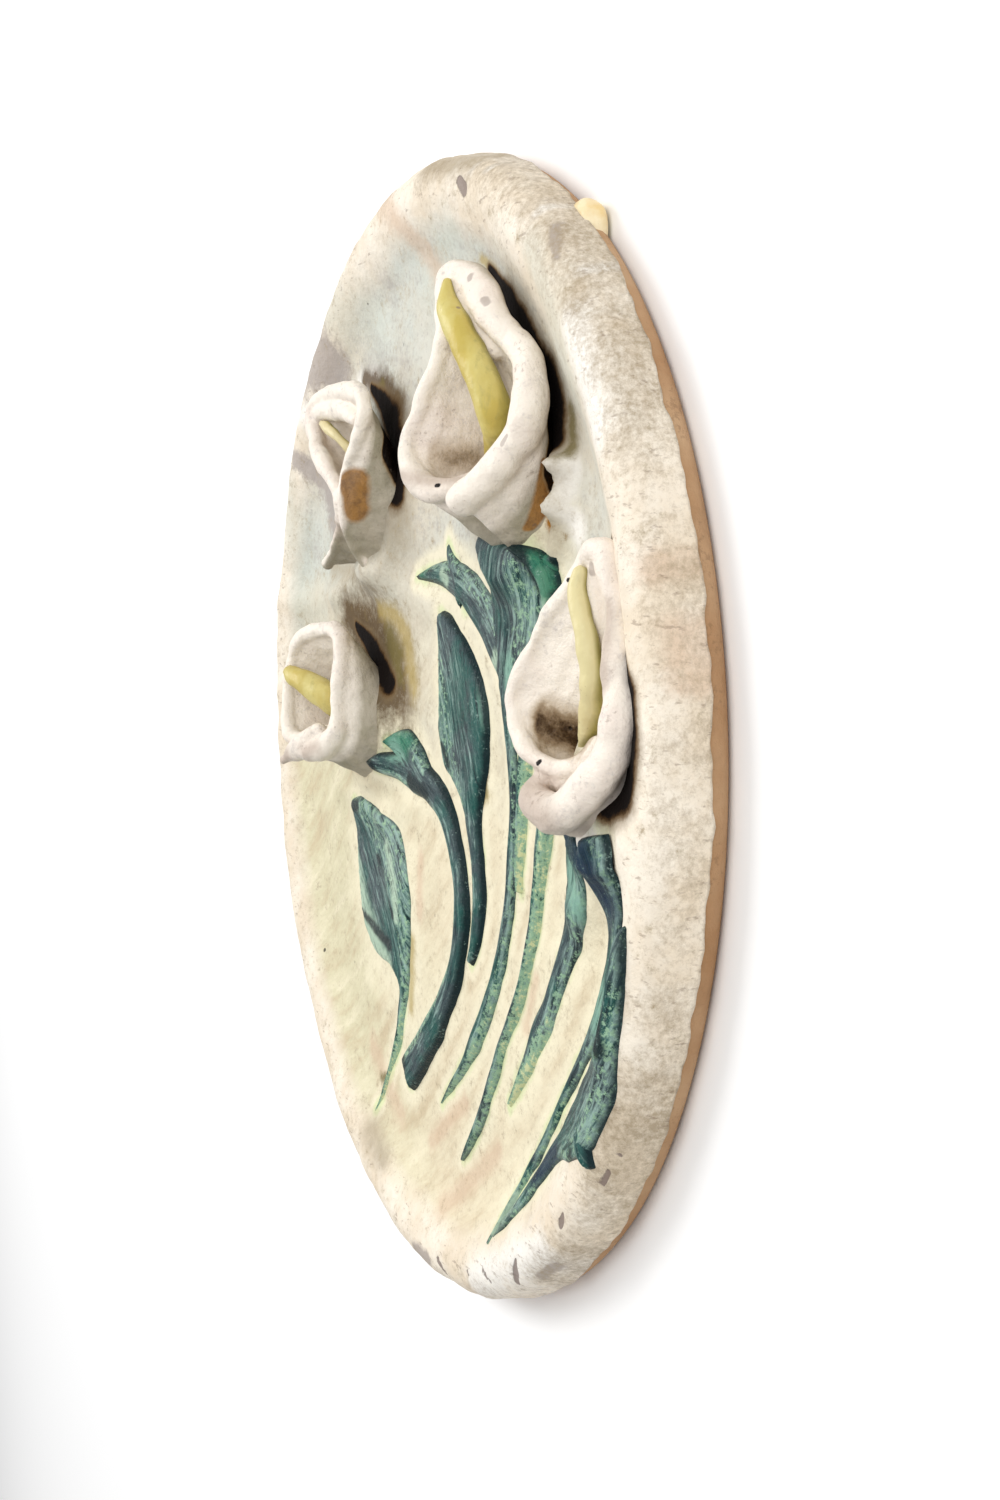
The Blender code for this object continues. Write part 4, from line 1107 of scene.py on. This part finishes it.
petal_glaze, tree, shader = new_material("petal glaze", 0.40)
place = here(tree)
colour = coat(PETAL_WHITE, PETAL_PINK, cloud(place, 42, 5), 0.45, 0.68, 0.75)
flecks = cloud(place, 380, 5, 0.7)
gather = cloud(place, 75, 4, 0.6)
colour = coat(colour, PETAL_GREY, plus(flecks, times(gather, 0.5)), 0.82, 0.97, 0.5)
rubbed = coat(PETAL_OUTSIDE, PETAL_OLIVE, cloud(place, 90, 5, 0.65), 0.42, 0.62)
wander = wandering(cloud(place, 150, 6, 0.7), 0.4)
colour = stained(colour, mark(tree, "outside"), rubbed, 0.85, 0.35, wander)
ragged = times(wander, 0.4)
# Painted shade on the lower rolls of the lips
colour = stained(colour, mark(tree, "roll_shade"), PETAL_ROLL_SHADE, 0.75, 0.45, wander)
rust = coat(PETAL_AMBER, PETAL_RUST, cloud(place, 220, 5, 0.7), 0.45, 0.62)
colour = stained(colour, mark(tree, "amber"), rust, 0.9, 0.14, ragged)
# Painted shade and pooled glaze in the mouths, under the lips and in sheltered places
colour = pooled_and_shaded(colour, place, PETAL_POOL_AND_SHADE, 0.46)
specks = use(speckle, Place=place, Scale=600.0, Amount=0.4)
colour = coat(colour, SPECK_BROWN, specks["Mask"], 0, 1, 0.4)
colour = stained(colour, mark(tree, "chip"), CHIP_GREY, 0.5, 0.15, ragged)
colour = stained(colour, mark(tree, "pit"), POOL_AND_SHADE_BLACK, 1.0, 0.1, ragged)
holes = use(pinholes, Place=place, Scale=130.0, Share=0.10, Size=0.15)
colour = coat(colour, POOL_AND_SHADE_BLACK, holes["Mask"], 0, 1, 0.85)
surface = plus(cloud(place, 350, 6, 0.65), times(holes["Height"], 0.8))
surface = minus(surface, ramp(mark(tree, "pit"), 0.4, 0.6))
finish_surface(shader, colour, surface, 0.85, 0.0010)
spathes = [spathe(name) for name in LILIES]
for seed, piece in enumerate(spathes):
    glaze_marks(piece)
    for height, size, later in PETAL_LUMPS:
        dented(piece, height, size, seed + later)
    fired(piece, petal_glaze)

# Spadices: fingers of rolled clay that stand in the mouths, pointed and bowed, in mustard glaze.
SPADIX_STEPS = 30
STEM_SHARES = (0, 0.25, 0.5, 0.75)
SPADIX_PALENESS = (0.1, 0.6, 0.7, 0.15)
SPADIX_LUMPS = 0.0006
SPADIX_LUMP_SIZE = 0.006
SPADIX_SEED = 20
SPADIX_MUSTARD = (0.52, 0.40, 0.065)
SPADIX_PALE = (0.62, 0.53, 0.17)
SPADIX_OLIVE = (0.33, 0.29, 0.07)
SPADIX_CREAM = (0.78, 0.70, 0.46)


def spadix(name):
    lily = LILIES[name]
    path = smooth_path(lily["spadix"], SPADIX_STEPS)
    places_of = in_mouth(lily, path)
    root = mouth_of(lily)[0] * MM
    stem = [root + (places_of[0] - root) * share for share in STEM_SHARES]
    radii = (np.concatenate([[path[0, 3]] * len(stem), path[:, 3]]) / 2 + WIPED_AWAY) * MM
    piece = finger(name.replace("lily", "spadix"), np.concatenate([stem, places_of]), radii)
    return pressed_together([piece])


spadix_glaze, tree, shader = new_material("spadix glaze", 0.36)
place = here(tree)
colour = coat(SPADIX_MUSTARD, SPADIX_PALE, cloud(place, 70, 4, 0.6, (1, 1, 2.5)), 0.42, 0.60)
colour = coat(colour, SPADIX_OLIVE, cloud(place, 200, 5, 0.7, (1, 1, 2.5)), 0.56, 0.72, 0.7)
colour = blend(mark(tree, "cream"), colour, SPADIX_CREAM)
# Painted shade, partly pooled glaze: olive in the sheltered places
colour = coat(colour, SPADIX_OLIVE, mark(tree, "shelter_shade"), 0.42, 0.75, 0.85)
specks = use(speckle, Place=place, Scale=700.0, Amount=0.3)
colour = coat(colour, SPECK_BROWN, specks["Mask"], 0, 1, 0.5)
holes = use(pinholes, Place=place, Scale=170.0, Share=0.25, Size=0.14)
colour = coat(colour, SPECK_BROWN, holes["Mask"], 0, 1, 0.8)
finish_surface(shader, colour, cloud(place, 420, 5), 0.45, 0.0007)
spadices = [spadix(name) for name in LILIES]
for seed, piece in enumerate(spadices):
    dented(piece, SPADIX_LUMPS, SPADIX_LUMP_SIZE, SPADIX_SEED + seed)
    set_mark(piece, "cream", np.full(len(piece.data.vertices), SPADIX_PALENESS[seed]))
    fired(piece, spadix_glaze)

# Sheltered places: each point keeps how much of the sky over it the clay nearby hides. The glazes darken
# there, partly as glaze that ran together in the kiln and partly as painted shade.
SHELTER_RAYS = 12
SHELTER_REACH = 0.030
SHELTER_START = 0.0004
SHELTER_FADE = 0.5
SHELTER_BLENDS = 4
NEAR_LILY = 62
ABOVE_FOOT = 10
FRONT_ONLY = 0.009


def tree_of(pieces):
    points, faces = [], []
    for piece in pieces:
        start = len(points)
        points += [Vector(point) for point in places(piece)]
        faces += [[start + index for index in face.vertices] for face in piece.data.polygons]
    return BVHTree.FromPolygons(points, faces)


def sky_directions(count):
    """Even directions over the half ball about +Z."""
    found = []
    for index in range(count):
        up = (index + 0.5) / count
        around = index * math.pi * (3 - math.sqrt(5))
        flat = math.sqrt(1 - up)
        found.append(Vector((flat * math.cos(around), flat * math.sin(around), math.sqrt(up))))
    return found


def set_shelter(piece, solids, wanted=None):
    """Keeps how much of the sky over each point the clay near it hides, evened out with its neighbours."""
    points = places(piece)
    normals = facings(piece)
    hidden = np.zeros(len(points))
    sky = sky_directions(SHELTER_RAYS)
    for index in range(len(points)) if wanted is None else np.nonzero(wanted)[0]:
        normal = Vector(normals[index])
        start = Vector(points[index]) + normal * SHELTER_START
        turn = normal.to_track_quat("Z", "Y")
        for direction in sky:
            hit = solids.ray_cast(start, turn @ direction, SHELTER_REACH)
            if hit[3] is not None:
                hidden[index] += 1 - hit[3] / SHELTER_REACH * SHELTER_FADE
    hidden /= SHELTER_RAYS
    ends = np.empty(len(piece.data.edges) * 2, np.int32)
    piece.data.edges.foreach_get("vertices", ends)
    first, second = ends[0::2], ends[1::2]
    number = np.bincount(ends, minlength=len(points)) + 1
    for blend_step in range(SHELTER_BLENDS):
        near = np.bincount(first, hidden[second], len(points))
        near += np.bincount(second, hidden[first], len(points))
        hidden = (hidden + near) / number
    set_mark(piece, "shelter_shade", hidden)


solids = tree_of([plate_face, *spathes, *spadices])
points = places(plate_face)
near_lilies = np.zeros(len(points), bool)
for lily in LILIES.values():
    near_lilies |= np.hypot(points[:, 0] / MM - lily["foot"][0],
                            points[:, 2] / MM - lily["foot"][1] - ABOVE_FOOT) < NEAR_LILY
set_shelter(plate_face, solids, near_lilies & (points[:, 1] < -FRONT_ONLY))
for piece in (*spathes, *spadices):
    set_shelter(piece, solids)

# The white wall that the plate hangs on, painted plaster. From behind it is see-through, so that the
# plate's back can be looked at.
WALL_GAP = 0.0008
WALL_SIZE = 6
WALL_WHITE = (0.97, 0.97, 0.97, 1)
start_clean()
bpy.ops.mesh.primitive_plane_add(size=WALL_SIZE, rotation=(math.radians(90), 0, 0),
                                 location=(0, WALL_GAP, 0))
wall = bpy.context.object
wall.name = "white_wall"
bpy.ops.object.transform_apply(location=True, rotation=True, scale=True)
wall_paint, tree, shader = new_material("wall paint", 0.9)
shader.inputs["Base Color"].default_value = WALL_WHITE
behind = node(tree, "ShaderNodeNewGeometry").outputs["Backfacing"]
clear = node(tree, "ShaderNodeBsdfTransparent").outputs[0]
one_sided = node(tree, "ShaderNodeMixShader", {0: behind, 1: shader.outputs[0], 2: clear})
tree.links.new(one_sided.outputs[0], tree.nodes["Material Output"].inputs["Surface"])
wall.data.materials.append(wall_paint)

# Soft light from a window at the upper left in front, and a weaker one from the right. Each lamp has
# its place, its width and its power.
LAMPS = {
    "window_light": ((-2.0, -2.6, 1.05), 2.0, 74),
    "fill_light": ((1.2, -1.5, 0.7), 1.6, 24),
}
ROOM_LIGHT = 0.46


def turned_to(place_of, aim):
    """How a lamp or a camera at a place is turned to face its aim."""
    return (Vector(aim) - Vector(place_of)).to_track_quat("-Z", "Y").to_euler()


for name, (place_of, width, power) in LAMPS.items():
    light = bpy.data.lights.new(name, "AREA")
    light.size = width
    light.energy = power
    lamp = bpy.data.objects.new(name, light)
    lamp.location = place_of
    lamp.rotation_euler = turned_to(place_of, (0, 0, 0))
    bpy.context.scene.collection.objects.link(lamp)
world = bpy.data.worlds.new("studio")
world.use_nodes = True
world.node_tree.nodes["Background"].inputs["Color"].default_value = (1, 1, 1, 1)
world.node_tree.nodes["Background"].inputs["Strength"].default_value = ROOM_LIGHT
bpy.context.scene.world = world

# The camera stands close to the wall, far to the right of the plate
CAMERA_PLACE = (0.48987, -0.18277, 0.0474)
CAMERA_AIM = (0.0329, 0, -0.00347)
LENS_LENGTH = 39.034
lens = bpy.data.cameras.new("photo_camera")
lens.lens = LENS_LENGTH
camera = bpy.data.objects.new("photo_camera", lens)
camera.location = CAMERA_PLACE
camera.rotation_euler = turned_to(CAMERA_PLACE, CAMERA_AIM)
bpy.context.scene.collection.objects.link(camera)
bpy.context.scene.camera = camera
bpy.context.scene.view_settings.view_transform = "Standard"
